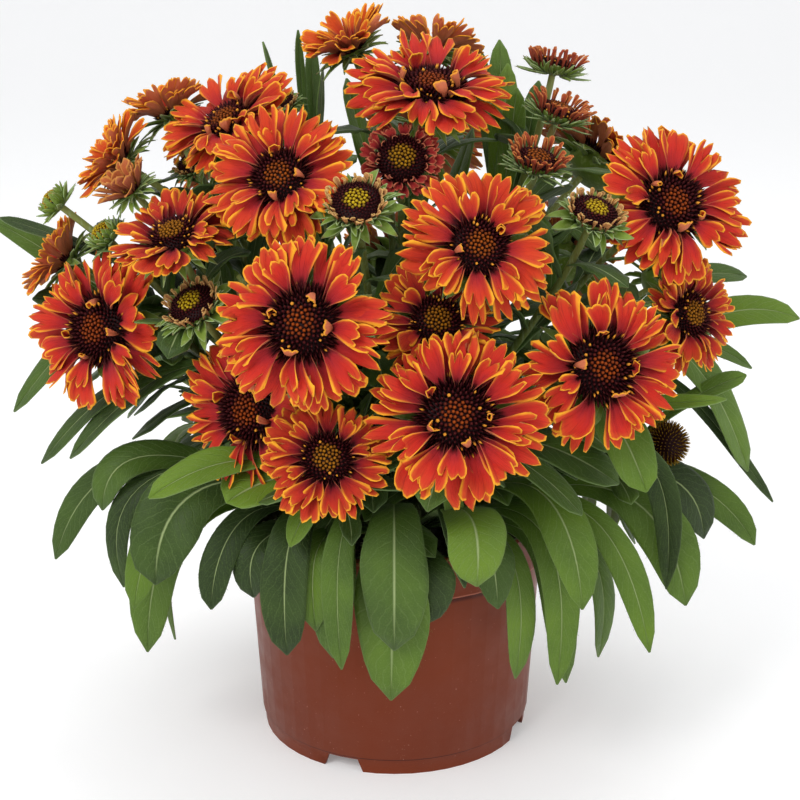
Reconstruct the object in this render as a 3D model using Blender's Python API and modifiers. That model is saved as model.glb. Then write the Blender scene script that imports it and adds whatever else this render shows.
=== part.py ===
"""A blanket flower in full bloom in its round nursery pot. Metres, +Z up.

The origin is on the pot's axis, in the plane that the pot stands on, and the front faces -Y.
Everything grows from one root crown on that axis, so a head or a leaf is placed by its azimuth,
which is 0 at the front and 90 at +X, and by how high and how far out it is."""

import math

import bmesh
import bpy
from mathutils import Matrix, Vector

MM = 0.001

# Driving dimensions
POT_DIAMETER = 150 * MM
POT_HEIGHT = 112 * MM
WALL = 1.8 * MM
BLOOM_DIAMETER = 72 * MM
STEM_DIAMETER = 3.2 * MM
GAP = 0.3 * MM
POT_STEPS = 48
HEAD_STEPS = 12
CROWN_STEPS = 24

# The pot, worked out from its height and its rim
RIM_RADIUS = POT_DIAMETER / 2
RIM_DEPTH = 20 * MM
WALL_TOP_RADIUS = RIM_RADIUS - 3.2 * MM
FOOT_RADIUS = RIM_RADIUS - 9 * MM
FOOT_HEIGHT = 7 * MM
FLOOR_RADIUS = FOOT_RADIUS + 1 * MM
SOIL_LEVEL = POT_HEIGHT - 14 * MM

# The root crown, which sits in the mix with its shoulders clear of it
CROWN = Vector((0, 0, SOIL_LEVEL + 4 * MM))
CROWN_RADIUS = 20 * MM
TAPROOT_DEPTH = 52 * MM

# The mound of flowers is half an egg, and a head's reach is measured in its radii
MOUND_CENTRE = Vector((0, 0, 170 * MM))
MOUND_RADII = Vector((140, 125, 150)) * MM


def start_clean():
    for old in list(bpy.context.scene.objects):
        bpy.data.objects.remove(old, do_unlink=True)


def collection(name):
    made = bpy.data.collections.new(name)
    bpy.context.scene.collection.children.link(made)
    return made


def finish(name, colour, roughness):
    made = bpy.data.materials.new(name)
    made.use_nodes = True
    shader = made.node_tree.nodes["Principled BSDF"]
    shader.inputs["Base Color"].default_value = (*colour, 1)
    shader.inputs["Roughness"].default_value = roughness
    shader.inputs["Metallic"].default_value = 0
    made.diffuse_color = (*colour, 1)
    return made


def placed(name, mesh, home, material=None):
    made = bpy.data.objects.new(name, mesh)
    home.objects.link(made)
    if material:
        mesh.materials.append(material)
    return made


def cutter(made):
    made.hide_render = True
    made.display_type = "WIRE"
    return made


def turned(name, profile, home, steps, material=None):
    """Turns a profile of (radius, height) about Z. It runs down the outer side, axis to axis."""
    mesh = bpy.data.meshes.new(name)
    edges = [(i, i + 1) for i in range(len(profile) - 1)]
    mesh.from_pydata([(r, 0, z) for r, z in profile], edges, [])
    made = placed(name, mesh, home, material)
    screw = made.modifiers.new("Turn", "SCREW")
    screw.steps = screw.render_steps = steps
    screw.use_merge_vertices = True
    screw.merge_threshold = 0.00001
    screw.use_smooth_shade = True
    return made


def boolean(made, operation, tool):
    step = made.modifiers.new(operation.title(), "BOOLEAN")
    step.operation = operation
    step.solver = "EXACT"
    step.object = tool
    return step


def direction(azimuth, elevation):
    around, above = math.radians(azimuth), math.radians(elevation)
    return Vector(
        (math.cos(above) * math.sin(around), -math.cos(above) * math.cos(around), math.sin(above))
    )


# The pot

NOTCH_AZIMUTHS = (-22, 68, 158, 248)
NOTCH_WIDTH = 25 * MM
NOTCH_SLOPE = 0.6
NOTCH_REACH = 12 * MM
DRAIN_COUNT = 6
DRAIN_RADIUS = 4.5 * MM
DRAIN_CIRCLE = 45 * MM


def pot_profile():
    """From the middle of the floor up the inside, over the rim, down the outside and under it."""
    rim_foot = POT_HEIGHT - RIM_DEPTH
    floor_top = FOOT_HEIGHT + WALL
    return [
        (0, floor_top),
        (FLOOR_RADIUS - WALL, floor_top),
        (RIM_RADIUS - 2.4 * MM, POT_HEIGHT),
        (RIM_RADIUS - 0.8 * MM, POT_HEIGHT),
        (RIM_RADIUS, POT_HEIGHT - 1.2 * MM),
        (RIM_RADIUS - 0.6 * MM, rim_foot),
        (WALL_TOP_RADIUS, rim_foot - 0.6 * MM),
        (FLOOR_RADIUS, FOOT_HEIGHT + 1 * MM),
        (FOOT_RADIUS, FOOT_HEIGHT),
        (FOOT_RADIUS - 0.4 * MM, 0),
        (FOOT_RADIUS - 2.4 * MM, 0),
        (FOOT_RADIUS - 2.2 * MM, FOOT_HEIGHT),
        (0, FOOT_HEIGHT),
    ]


def notch_tools(home):
    """Wedges with sloping sides that cut the foot ring away in four places."""
    mesh = bpy.data.meshes.new("foot_notches")
    shape = bmesh.new()
    for azimuth in NOTCH_AZIMUTHS:
        cube = bmesh.ops.create_cube(shape, size=1)["verts"]
        for v in cube:
            narrow = NOTCH_SLOPE if v.co.z > 0 else 1
            v.co.x *= NOTCH_WIDTH * narrow
            v.co.y = v.co.y * NOTCH_REACH - FOOT_RADIUS
            v.co.z = v.co.z * 2 * FOOT_HEIGHT - 0.4 * MM
        bmesh.ops.rotate(shape, verts=cube, matrix=Matrix.Rotation(math.radians(azimuth), 3, "Z"))
    shape.to_mesh(mesh)
    shape.free()
    return cutter(placed("foot_notches", mesh, home))


def drain_tools(home):
    """Round rods that cut the drain holes in the pot's floor."""
    mesh = bpy.data.meshes.new("drain_holes")
    shape = bmesh.new()
    for i in range(DRAIN_COUNT):
        around = math.tau * (i + 0.5) / DRAIN_COUNT
        middle = (math.cos(around) * DRAIN_CIRCLE, math.sin(around) * DRAIN_CIRCLE, FOOT_HEIGHT)
        bmesh.ops.create_cone(
            shape,
            cap_ends=True,
            segments=12,
            radius1=DRAIN_RADIUS,
            radius2=DRAIN_RADIUS,
            depth=10 * MM,
            matrix=Matrix.Translation(middle),
        )
    shape.to_mesh(mesh)
    shape.free()
    return cutter(placed("drain_holes", mesh, home))


def make_pot(plant, tools):
    plastic = finish("terracotta_plastic", (0.25, 0.055, 0.03), 0.4)
    pot = turned("pot", pot_profile(), plant, POT_STEPS, plastic)
    boolean(pot, "DIFFERENCE", notch_tools(tools))
    boolean(pot, "DIFFERENCE", drain_tools(tools))


# The potting mix and the root crown in it


def crown_profile(grown):
    """The crown's shoulder and the taproot under it, made bigger all round by grown."""
    radius = CROWN_RADIUS + grown
    return [
        (0, CROWN.z + radius * 0.75),
        (radius * 0.62, CROWN.z + radius * 0.55),
        (radius * 0.95, CROWN.z + radius * 0.15),
        (radius, CROWN.z - 5 * MM),
        (radius * 0.6, CROWN.z - 14 * MM - grown),
        (4 * MM + grown, CROWN.z - TAPROOT_DEPTH),
        (0, CROWN.z - TAPROOT_DEPTH - 4 * MM - grown),
    ]


def make_soil(plant, tools):
    mix = finish("potting_mix", (0.03, 0.018, 0.01), 0.95)
    floor = FOOT_HEIGHT + WALL + GAP
    outline = [
        (0, SOIL_LEVEL),
        (WALL_TOP_RADIUS - WALL - 1 * MM, SOIL_LEVEL),
        (FLOOR_RADIUS - WALL - 1 * MM, floor),
        (0, floor),
    ]
    soil = turned("potting_mix", outline, plant, POT_STEPS // 2, mix)
    hole = turned("crown_hole", crown_profile(GAP), tools, CROWN_STEPS)
    boolean(soil, "DIFFERENCE", cutter(hole))


# The flower heads. Each profile is (radius, height) as shares of the head's radius, from the top
# of the disc out over the rays, in along their back and down the calyx to the stem.

OPEN_HEAD = [
    (0, 0.24),
    (0.26, 0.19),
    (0.42, 0.06),
    (0.88, 0.1),
    (1, 0),
    (0.42, -0.14),
    (0.12, -0.3),
    (0, -0.3),
]
FOLDED_HEAD = [
    (0, 0.42),
    (0.45, 0.44),
    (0.95, 0.4),
    (1, 0.25),
    (0.62, -0.05),
    (0.15, -0.36),
    (0, -0.36),
]
BUD = [
    (0, 0.6),
    (0.5, 0.52),
    (0.9, 0.2),
    (1, -0.05),
    (0.6, -0.4),
    (0.2, -0.55),
    (0, -0.55),
]
SEED_HEAD = [
    (0, 1),
    (0.65, 0.75),
    (1, 0.1),
    (0.8, -0.5),
    (0.25, -0.8),
    (0, -0.8),
]

# Kind: profile, radius, share of the radius from the middle to the stem, colour
KINDS = {
    "bloom": (OPEN_HEAD, BLOOM_DIAMETER / 2, 0.3, (0.55, 0.05, 0.01)),
    "fresh_bloom": (OPEN_HEAD, BLOOM_DIAMETER * 0.45, 0.3, (0.55, 0.06, 0.01)),
    "young_bloom": (OPEN_HEAD, BLOOM_DIAMETER * 0.38, 0.3, (0.45, 0.03, 0.012)),
    "dusky_bloom": (OPEN_HEAD, BLOOM_DIAMETER * 0.22, 0.3, (0.2, 0.015, 0.012)),
    "folded_bloom": (FOLDED_HEAD, BLOOM_DIAMETER * 0.26, 0.36, (0.5, 0.06, 0.01)),
    "half_bud": (FOLDED_HEAD, BLOOM_DIAMETER * 0.19, 0.36, (0.2, 0.03, 0.02)),
    "green_bud": (BUD, BLOOM_DIAMETER * 0.12, 0.55, (0.16, 0.22, 0.05)),
    "seed_head": (SEED_HEAD, BLOOM_DIAMETER * 0.13, 0.8, (0.2, 0.07, 0.02)),
}

# Name, kind, where it is on the mound (azimuth, elevation, reach), where it faces (azimuth,
# elevation). Reach tells which head lies in front where two overlap.
HEADS = [
    ("bloom_front_low", "bloom", 10, 10, 1.05, 2, 26),
    ("bloom_front_left", "bloom", -15, 23, 1.09, -8, 24),
    ("bloom_front_right", "fresh_bloom", 17, 36, 1.03, 12, 28),
    ("bloom_right_low", "bloom", 38, 15, 1.03, 16, 20),
    ("bloom_right", "bloom", 67, 35, 1.14, 22, 28),
    ("bloom_right_behind", "young_bloom", 69, 18, 1.05, 40, 20),
    ("bloom_left", "bloom", -67, 16, 1.05, -30, 16),
    ("bloom_left_low", "bloom", -32, 8, 0.82, -34, 12),
    ("bloom_upper_left", "fresh_bloom", -29, 48, 1.03, -16, 32),
    ("bloom_left_behind", "fresh_bloom", -66, 57, 1.04, -48, 52),
    ("bloom_top", "bloom", 24, 74, 1.01, 5, 68),
    ("bloom_top_left", "folded_bloom", -110, 82, 1.08, -60, 64),
    ("bloom_top_behind", "folded_bloom", 138, 80, 1.07, 150, 66),
    ("bloom_dusky", "dusky_bloom", 3, 60, 0.92, 0, 34),
    ("bloom_middle", "young_bloom", 9, 26, 0.9, 5, 34),
    ("bloom_low_left", "young_bloom", -11, 3, 1.01, -4, 30),
    ("bloom_upper_left_small", "young_bloom", -49, 34, 1.06, -30, 60),
    ("bloom_side_view", "folded_bloom", -84, 40, 1.16, -75, 36),
    ("bloom_orange", "folded_bloom", -92, 50, 1.14, -110, 66),
    ("bloom_closing", "half_bud", -65, 38, 1.14, -62, 50),
    ("bloom_left_hidden", "folded_bloom", -85, 22, 1.17, -90, 35),
    ("seed_head", "seed_head", 73, -6, 0.95, 60, 30),
    ("bud_middle", "half_bud", -8, 43, 1.06, -5, 50),
    ("bud_right", "half_bud", 48, 39, 1.05, 30, 60),
    ("bud_upper_right", "half_bud", 51, 54, 0.97, 30, 66),
    ("bud_top_right", "half_bud", 77, 59, 1.05, 60, 70),
    ("bud_top", "half_bud", 94, 63, 1.15, 110, 78),
    ("bud_left", "green_bud", -80, 30, 1.28, -84, 40),
    ("bud_left_low", "half_bud", -44, 25, 0.97, -36, 50),
    ("bud_left_green", "green_bud", -71, 30, 1.12, -68, 50),
    ("bloom_back_low", "bloom", 180, 12, 1.05, 180, 24),
    ("bloom_back_left", "bloom", -142, 14, 1.06, -140, 24),
    ("bloom_back_right", "bloom", 142, 16, 1.06, 140, 24),
    ("bloom_back_upper", "bloom", 172, 44, 1.04, 175, 42),
    ("bloom_back_upper_left", "bloom", -132, 44, 1.04, -130, 42),
    ("bloom_back_upper_right", "bloom", 120, 40, 1.05, 120, 40),
    ("bloom_back_middle", "young_bloom", -160, 30, 0.92, -162, 40),
    ("bloom_back_side", "young_bloom", 110, 16, 1.04, 110, 25),
    ("bud_back_left", "half_bud", -112, 4, 1.05, -110, 30),
    ("bud_back", "half_bud", 160, 0, 0.98, 160, 30),
]


def on_mound(azimuth, elevation, reach):
    way = direction(azimuth, elevation)
    return MOUND_CENTRE + Vector(a * b for a, b in zip(way, MOUND_RADII)) * reach


def head_at(kind, azimuth, elevation, reach, face_azimuth, face_elevation):
    """The middle of a head, the way it faces and the point where its stem meets it."""
    middle = on_mound(azimuth, elevation, reach)
    way = direction(face_azimuth, face_elevation)
    _, radius, depth, _ = KINDS[kind]
    return middle, way, middle - way * radius * depth


def make_heads(plant):
    colours = {kind: finish(kind, values[3], 0.6) for kind, values in KINDS.items()}
    for name, kind, *place in HEADS:
        profile, radius, _, _ = KINDS[kind]
        outline = [(r * radius, z * radius) for r, z in profile]
        head = turned(name, outline, plant, HEAD_STEPS, colours[kind])
        middle, way, _ = head_at(kind, *place)
        head.location = middle
        head.rotation_mode = "QUATERNION"
        head.rotation_quaternion = way.to_track_quat("Z", "Y")


# The stems and the root crown, which grew as one piece

STEM_POINTS = 5
STEM_NECK = 5 * MM


def stem_route(tip, way):
    """A smooth curve that leaves the crown towards the head, and a neck along the head's axis."""
    neck = tip - way * STEM_NECK
    towards = (neck - CROWN).normalized()
    start = CROWN + towards * CROWN_RADIUS * 0.5
    length = (neck - start).length
    first = start + (towards + Vector((0, 0, 0.25))).normalized() * length * 0.35
    last = neck - way * length * 0.3
    route = []
    for i in range(STEM_POINTS):
        t = i / (STEM_POINTS - 1)
        u = 1 - t
        bend = start * u**3 + first * (3 * u * u * t) + last * (3 * u * t * t) + neck * t**3
        route.append(bend)
    return [*route, tip]


def stem_curves(home):
    data = bpy.data.curves.new("stems", "CURVE")
    data.dimensions = "3D"
    data.bevel_depth = STEM_DIAMETER / 2
    data.bevel_resolution = 1
    data.use_fill_caps = True
    for _, kind, *place in HEADS:
        _, way, base = head_at(kind, *place)
        route = stem_route(base - way * GAP, way)
        line = data.splines.new("POLY")
        line.points.add(len(route) - 1)
        for point, co in zip(line.points, route):
            point.co = (*co, 1)
    curves = bpy.data.objects.new("stem_curves", data)
    home.objects.link(curves)
    return curves


def as_mesh(curves, home, name):
    """The curves as one mesh with its caps welded, in place of the curve object."""
    bpy.context.view_layer.update()
    seen = curves.evaluated_get(bpy.context.evaluated_depsgraph_get())
    mesh = bpy.data.meshes.new_from_object(seen)
    shape = bmesh.new()
    shape.from_mesh(mesh)
    bmesh.ops.remove_doubles(shape, verts=shape.verts, dist=0.000001)
    shape.to_mesh(mesh)
    shape.free()
    made = placed(name, mesh, home)
    made.matrix_world = curves.matrix_world
    bpy.data.objects.remove(curves, do_unlink=True)
    return made


def make_crown_and_stems(plant, tools):
    green = finish("stem_green", (0.13, 0.2, 0.06), 0.6)
    crown = turned("crown_and_stems", crown_profile(0), plant, CROWN_STEPS, green)
    stems = cutter(as_mesh(stem_curves(tools), tools, "stem_tubes"))
    union = boolean(crown, "UNION", stems)
    union.use_self = True


# The large leaves

LEAF_THICKNESS = 0.9 * MM
LEAF_STATIONS = 8
STALK_WIDTH = 3.6 * MM
LEAF_FOLD = 0.2

# Name, azimuth, width, (distance from the axis, height) in mm of the top of the arch and of the
# tip, and how far the blade rolls over on its way out
LEAVES = [
    ("leaf_front", 0, 30, 94, 142, 98, 80, 0),
    ("leaf_front_left", -13, 15, 92, 138, 103, 72, 0),
    ("leaf_front_dark", -28, 22, 92, 132, 102, 74, -15),
    ("leaf_front_right", 17, 28, 104, 146, 120, 118, 0),
    ("leaf_right_down", 40, 17, 98, 130, 114, 58, 35),
    ("leaf_right_long", 54, 16, 104, 132, 142, 72, 45),
    ("leaf_right_wide", 68, 26, 108, 134, 146, 82, 55),
    ("leaf_right_tip", 81, 17, 120, 136, 174, 101, 60),
    ("leaf_right_far", 94, 17, 120, 186, 196, 202, 60),
    ("leaf_left_dark", -42, 16, 96, 134, 121, 96, -30),
    ("leaf_left_long", -58, 18, 104, 136, 139, 89, -50),
    ("leaf_left_tip", -82, 18, 118, 140, 165, 92, -50),
    ("leaf_left_far", -95, 13, 120, 196, 194, 250, -60),
    ("leaf_back_left", -140, 24, 100, 134, 142, 88, 20),
    ("leaf_back", -174, 26, 98, 136, 124, 74, 0),
    ("leaf_back_right", 146, 24, 100, 134, 142, 92, -20),
    ("leaf_back_side", 118, 20, 104, 130, 150, 84, -20),
]


def leaf_width(share, widest):
    """Half the width along the leaf: a narrow stalk that widens to a spoon with a blunt tip."""
    blade = math.sin(math.pi * share**1.7) ** 0.75 if 0 < share < 1 else 0
    stalk = STALK_WIDTH / 2 * (1 - share)
    return max(stalk + blade * (widest / 2 - stalk * 0.5), 0.6 * MM)


def leaf_point(azimuth, width, top, tip, roll, across, share):
    """A point of the leaf: share runs from the crown to the tip on an arch through its top."""
    start = Vector((CROWN_RADIUS * 0.97 + GAP, CROWN.z + 2 * MM))
    pull = top * 2 - (start + tip) / 2
    left = 1 - share
    radius, height = start * left**2 + pull * (2 * left * share) + tip * share**2
    outward, upward = (pull - start) * left + (tip - pull) * share
    tangent = (direction(azimuth, 0) * outward + Vector((0, 0, upward))).normalized()
    sideways = Vector((math.cos(math.radians(azimuth)), math.sin(math.radians(azimuth)), 0))
    rolled = Matrix.Rotation(math.radians(roll) * min(1, 2 * share), 3, tangent) @ sideways
    half = leaf_width(share, width)
    middle = direction(azimuth, 0) * radius + Vector((0, 0, height))
    return middle + rolled * across * half + tangent.cross(rolled) * abs(across) * half * LEAF_FOLD


def make_leaf(plant, material, name, azimuth, width, arch, arch_height, tip, tip_height, roll):
    """A strip folded along its midrib, with half its thickness on each side."""
    top, end = Vector((arch, arch_height)) * MM, Vector((tip, tip_height)) * MM
    shape = bmesh.new()
    bmesh.ops.create_grid(shape, x_segments=2, y_segments=LEAF_STATIONS, size=1)
    for v in shape.verts:
        v.co = leaf_point(azimuth, width * MM, top, end, roll, v.co.x, (v.co.y + 1) / 2)
    mesh = bpy.data.meshes.new(name)
    shape.to_mesh(mesh)
    shape.free()
    leaf = placed(name, mesh, plant, material)
    shell = leaf.modifiers.new("Thickness", "SOLIDIFY")
    shell.thickness = LEAF_THICKNESS
    shell.offset = 0


def make_leaves(plant):
    green = finish("leaf_green", (0.07, 0.16, 0.025), 0.5)
    for leaf in LEAVES:
        make_leaf(plant, green, *leaf)


start_clean()
plant_parts = collection("blanket_flower_plant")
tool_parts = collection("cutters")
make_pot(plant_parts, tool_parts)
make_soil(plant_parts, tool_parts)
make_crown_and_stems(plant_parts, tool_parts)
make_heads(plant_parts)
make_leaves(plant_parts)
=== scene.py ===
"""A blanket flower in full bloom in its nursery pot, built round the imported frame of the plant.

Metres, +Z up, the pot's axis at the origin and the front at -Y. The pot and its fill come first,
then the crown with its stems, the rays, discs and green backs of all heads and buds, the leaves,
and last the studio."""

import math

import bmesh
import bpy
import numpy as np
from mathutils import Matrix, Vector


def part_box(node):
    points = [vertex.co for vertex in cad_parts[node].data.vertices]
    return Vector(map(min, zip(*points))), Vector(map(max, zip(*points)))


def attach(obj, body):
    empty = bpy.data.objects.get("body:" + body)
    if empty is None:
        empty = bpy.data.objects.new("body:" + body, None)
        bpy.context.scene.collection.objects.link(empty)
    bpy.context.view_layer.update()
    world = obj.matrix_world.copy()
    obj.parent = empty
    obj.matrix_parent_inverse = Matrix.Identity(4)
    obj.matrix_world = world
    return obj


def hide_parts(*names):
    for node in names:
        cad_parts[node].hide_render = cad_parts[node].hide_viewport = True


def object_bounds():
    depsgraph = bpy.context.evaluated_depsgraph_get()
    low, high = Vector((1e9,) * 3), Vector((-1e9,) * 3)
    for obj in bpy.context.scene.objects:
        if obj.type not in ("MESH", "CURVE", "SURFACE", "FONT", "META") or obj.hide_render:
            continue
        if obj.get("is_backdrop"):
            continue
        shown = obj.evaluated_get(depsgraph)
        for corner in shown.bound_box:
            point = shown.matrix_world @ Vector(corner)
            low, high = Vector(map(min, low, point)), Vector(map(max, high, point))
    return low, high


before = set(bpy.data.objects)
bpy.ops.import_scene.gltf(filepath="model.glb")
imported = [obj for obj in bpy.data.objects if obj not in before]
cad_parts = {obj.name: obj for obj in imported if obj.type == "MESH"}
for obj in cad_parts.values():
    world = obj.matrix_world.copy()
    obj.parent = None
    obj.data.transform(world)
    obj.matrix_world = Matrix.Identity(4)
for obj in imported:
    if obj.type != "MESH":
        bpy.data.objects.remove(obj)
cad_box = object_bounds()

# The camera looks down on the plant from a little above it, as a grower's catalogue does.

CAMERA_PLACE = (0.0025, -0.76, 0.40)
CAMERA_PITCH = 17.17
CAMERA_PIXELS = 1650

eye = bpy.data.cameras.new("camera")
eye.sensor_width = 36
eye.lens = CAMERA_PIXELS / 800 * eye.sensor_width
eye.clip_start = 0.02
camera = bpy.data.objects.new("camera", eye)
camera.location = CAMERA_PLACE
camera.rotation_euler = (math.radians(90 - CAMERA_PITCH), 0, 0)
bpy.context.scene.collection.objects.link(camera)
bpy.context.scene.camera = camera


# The pot: thin injection-moulded polypropylene in a terracotta red, with a deep rim band that
# stands a little proud of the wall and a foot ring with notches that let water out. It is one
# moulding. Its surface is satin, scuffed in places and darker in patches near the foot.

MM = 0.001
POT_SHARP_ANGLE = 32
# Heights of the lower edge of the rim band and of the moulded line over the foot, and how wide
# such a line looks
BAND_EDGE = 0.092
FOOT_LINE = 0.0078
LINE_WIDTH = 0.0005
TERRACOTTA = ((0.165, 0.028, 0.007), (0.21, 0.039, 0.012))
SCUFF = (0.34, 0.11, 0.072)
SPECK = (0.5, 0.24, 0.18)
PAINTED_EDGE_HIGHLIGHT = (0.4, 0.13, 0.08)
FOOT_DARKENING = (0.1, 0.018, 0.008)
BAND_SHADE = (0.08, 0.012, 0.005)
LINE_SHADE = (0.06, 0.01, 0.005)


def mesh_piece(name, places, quads, triangles=(), values=(), material=None, smooth=True):
    """One object from whole arrays: vertices, faces with four and with three corners, and named
    numbers that each vertex carries for the material."""
    quads = np.asarray(quads, dtype=np.int32).reshape(-1, 4)
    triangles = np.asarray(triangles, dtype=np.int32).reshape(-1, 3)
    corners = np.concatenate([quads.ravel(), triangles.ravel()])
    starts = np.concatenate(
        [np.arange(len(quads)) * 4, quads.size + np.arange(len(triangles)) * 3]
    )
    mesh = bpy.data.meshes.new(name)
    mesh.vertices.add(len(places))
    mesh.vertices.foreach_set("co", np.asarray(places, dtype=np.float32).ravel())
    mesh.loops.add(len(corners))
    mesh.loops.foreach_set("vertex_index", corners.astype(np.int32))
    mesh.polygons.add(len(starts))
    mesh.polygons.foreach_set("loop_start", starts.astype(np.int32))
    mesh.update(calc_edges=True)
    mesh.polygons.foreach_set("use_smooth", np.full(len(starts), smooth))
    for key, numbers in dict(values).items():
        layer = mesh.attributes.new(key, "FLOAT", "POINT")
        layer.data.foreach_set("value", np.asarray(numbers, dtype=np.float32).ravel())
    if material:
        mesh.materials.append(material)
    piece = bpy.data.objects.new(name, mesh)
    bpy.context.scene.collection.objects.link(piece)
    return piece


def ring_quads(rings, steps):
    """The faces of a turned surface: each ring of points is joined to the next one, which is
    further down the outer side, and the last point of a ring to the first."""
    here = np.arange(rings * steps).reshape(rings, steps)
    after = np.roll(here, -1, axis=1)
    return np.stack([here[:-1], here[1:], after[1:], after[:-1]], axis=-1).reshape(-1, 4)


def fans(steps, first, last, top, bottom):
    """The triangles that close a turned surface: from a pole to each edge of its ring."""
    turn = np.arange(steps)
    after = np.roll(turn, -1)
    upper = np.stack([np.full(steps, top), first + turn, first + after], axis=-1)
    lower = np.stack([np.full(steps, bottom), last + after, last + turn], axis=-1)
    return np.concatenate([upper, lower])


class Nodes:
    """A new node material, with short ways to add a node and to join it to others."""

    def __init__(self, name, roughness):
        self.material = bpy.data.materials.new(name)
        self.material.use_nodes = True
        self.tree = self.material.node_tree
        self.shader = self.tree.nodes["Principled BSDF"]
        self.shader.inputs["Roughness"].default_value = roughness

    def put(self, socket, value):
        if isinstance(value, bpy.types.NodeSocket):
            self.tree.links.new(value, socket)
        else:
            socket.default_value = value

    def add(self, kind, inputs=(), **settings):
        made = self.tree.nodes.new(kind)
        for key, value in settings.items():
            setattr(made, key, value)
        for key, value in dict(inputs).items():
            self.put(made.inputs[key], value)
        return made

    def place(self):
        return self.add("ShaderNodeTexCoord").outputs["Object"]

    def carried(self, key):
        return self.add("ShaderNodeAttribute", attribute_name=key).outputs["Fac"]

    def maths(self, operation, first, second=0.0):
        node = self.add("ShaderNodeMath", operation=operation)
        self.put(node.inputs[0], first)
        self.put(node.inputs[1], second)
        return node.outputs[0]

    def plus(self, first, second):
        return self.maths("ADD", first, second)

    def times(self, first, second):
        return self.maths("MULTIPLY", first, second)

    def noise(self, vector, scale, detail, roughness=0.55):
        inputs = {"Vector": vector, "Scale": scale, "Detail": detail, "Roughness": roughness}
        return self.add("ShaderNodeTexNoise", inputs).outputs["Fac"]

    def stretched(self, vector, scale):
        return self.add("ShaderNodeMapping", {"Vector": vector, "Scale": scale}).outputs["Vector"]

    def ramp(self, factor, *stops):
        node = self.add("ShaderNodeValToRGB", {"Fac": factor})
        band = node.color_ramp
        while len(band.elements) < len(stops):
            band.elements.new(0.5)
        for element, (place, colour) in zip(band.elements, stops):
            element.position = place
            element.color = (*colour, 1)
        return node.outputs["Color"]

    def between(self, factor, low, high):
        inputs = {"Value": factor, "From Min": low, "From Max": high}
        return self.add("ShaderNodeMapRange", inputs).outputs["Result"]

    def mix(self, factor, first, second):
        node = self.add("ShaderNodeMix", data_type="RGBA")
        self.put(node.inputs["Factor"], factor)
        for socket, value in zip([s for s in node.inputs if s.type == "RGBA"], (first, second)):
            self.put(socket, (*value, 1) if isinstance(value, tuple) else value)
        return [s for s in node.outputs if s.type == "RGBA"][0]

    def swing(self, value, reach):
        """How far a value is from a half, times the reach."""
        return self.times(self.maths("SUBTRACT", value, 0.5), reach)

    def tint(self, base, mask, share, colour):
        """The base with a share of the colour where the mask is."""
        return self.mix(self.times(mask, share), base, colour)

    def colour(self, value):
        self.put(self.shader.inputs["Base Color"], value)

    def rough(self, value):
        self.put(self.shader.inputs["Roughness"], value)

    def shine(self, specular, sheen=0.0):
        """How much the surface mirrors, and how much it shows a velvety sheen."""
        self.put(self.shader.inputs["Specular IOR Level"], specular)
        self.put(self.shader.inputs["Sheen Weight"], sheen)

    def bump(self, height, distance, strength):
        inputs = {"Height": height, "Distance": distance, "Strength": strength}
        made = self.add("ShaderNodeBump", inputs)
        self.put(self.shader.inputs["Normal"], made.outputs["Normal"])


def pot_plastic():
    """Terracotta red: blotches a little lighter and darker, fine scuffs, darker patches towards the
    foot, a painted highlight along the lower edge of the rim band, and painted shadow lines under
    that edge and over the foot.
    """
    look = Nodes("pot_plastic", 0.4)
    where = look.place()
    blotch = look.noise(where, 18, 4)
    base = look.ramp(blotch, (0.3, TERRACOTTA[0]), (0.7, TERRACOTTA[1]))
    streak = look.noise(look.stretched(where, (260, 260, 30)), 1.0, 4, 0.7)
    base = look.mix(look.between(streak, 0.66, 0.8), base, SCUFF)
    speck = look.noise(where, 900, 2, 0.5)
    base = look.mix(look.between(speck, 0.72, 0.78), base, SPECK)
    height = look.add("ShaderNodeSeparateXYZ", {"Vector": where}).outputs["Z"]
    # Darker in patches towards the foot of the pot
    low = look.times(look.between(height, 0.075, 0.0), look.between(blotch, 0.35, 0.65))
    base = look.tint(base, low, 0.55, FOOT_DARKENING)
    # A painted highlight along the lower edge of the rim band, then a painted shadow just under it
    edge = look.maths("ABSOLUTE", look.maths("SUBTRACT", height, BAND_EDGE))
    base = look.mix(look.between(edge, LINE_WIDTH * 1.6, LINE_WIDTH * 0.6), base, PAINTED_EDGE_HIGHLIGHT)
    below = look.maths("ABSOLUTE", look.maths("SUBTRACT", height, BAND_EDGE - LINE_WIDTH * 4))
    base = look.mix(look.between(below, LINE_WIDTH * 4, LINE_WIDTH), base, BAND_SHADE)
    foot = look.maths("ABSOLUTE", look.maths("SUBTRACT", height, FOOT_LINE))
    base = look.mix(look.between(foot, LINE_WIDTH, LINE_WIDTH * 0.4), base, LINE_SHADE)
    look.colour(base)
    look.rough(look.between(look.noise(where, 60, 5), -0.3, 1.6))
    look.shine(0.16)
    grain = look.noise(where, 1400, 2)
    look.bump(look.plus(grain, look.times(streak, 0.6)), 0.00006, 0.5)
    return look.material


def smooth_copy(name, node, angle):
    """A copy of a node's mesh with its loose corners joined, so that its round walls shade as
    round and its edges past the angle stay sharp."""
    form = bmesh.new()
    form.from_mesh(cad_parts[node].data)
    bmesh.ops.remove_doubles(form, verts=form.verts, dist=0.00001)
    mesh = bpy.data.meshes.new(name)
    form.to_mesh(mesh)
    form.free()
    mesh.shade_smooth()
    mesh.set_sharp_from_angle(angle=math.radians(angle))
    piece = bpy.data.objects.new(name, mesh)
    bpy.context.scene.collection.objects.link(piece)
    return piece


pot = smooth_copy("pot_shell", "pot", POT_SHARP_ANGLE)
pot.data.materials.clear()
pot.data.materials.append(pot_plastic())
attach(pot, "root")
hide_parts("pot")


# The potting mix: dark, damp peat and bark with white grains of perlite, filled to a finger's
# width under the rim. It is loose crumbs, so its surface is lumpy and dips towards the crown.

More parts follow.
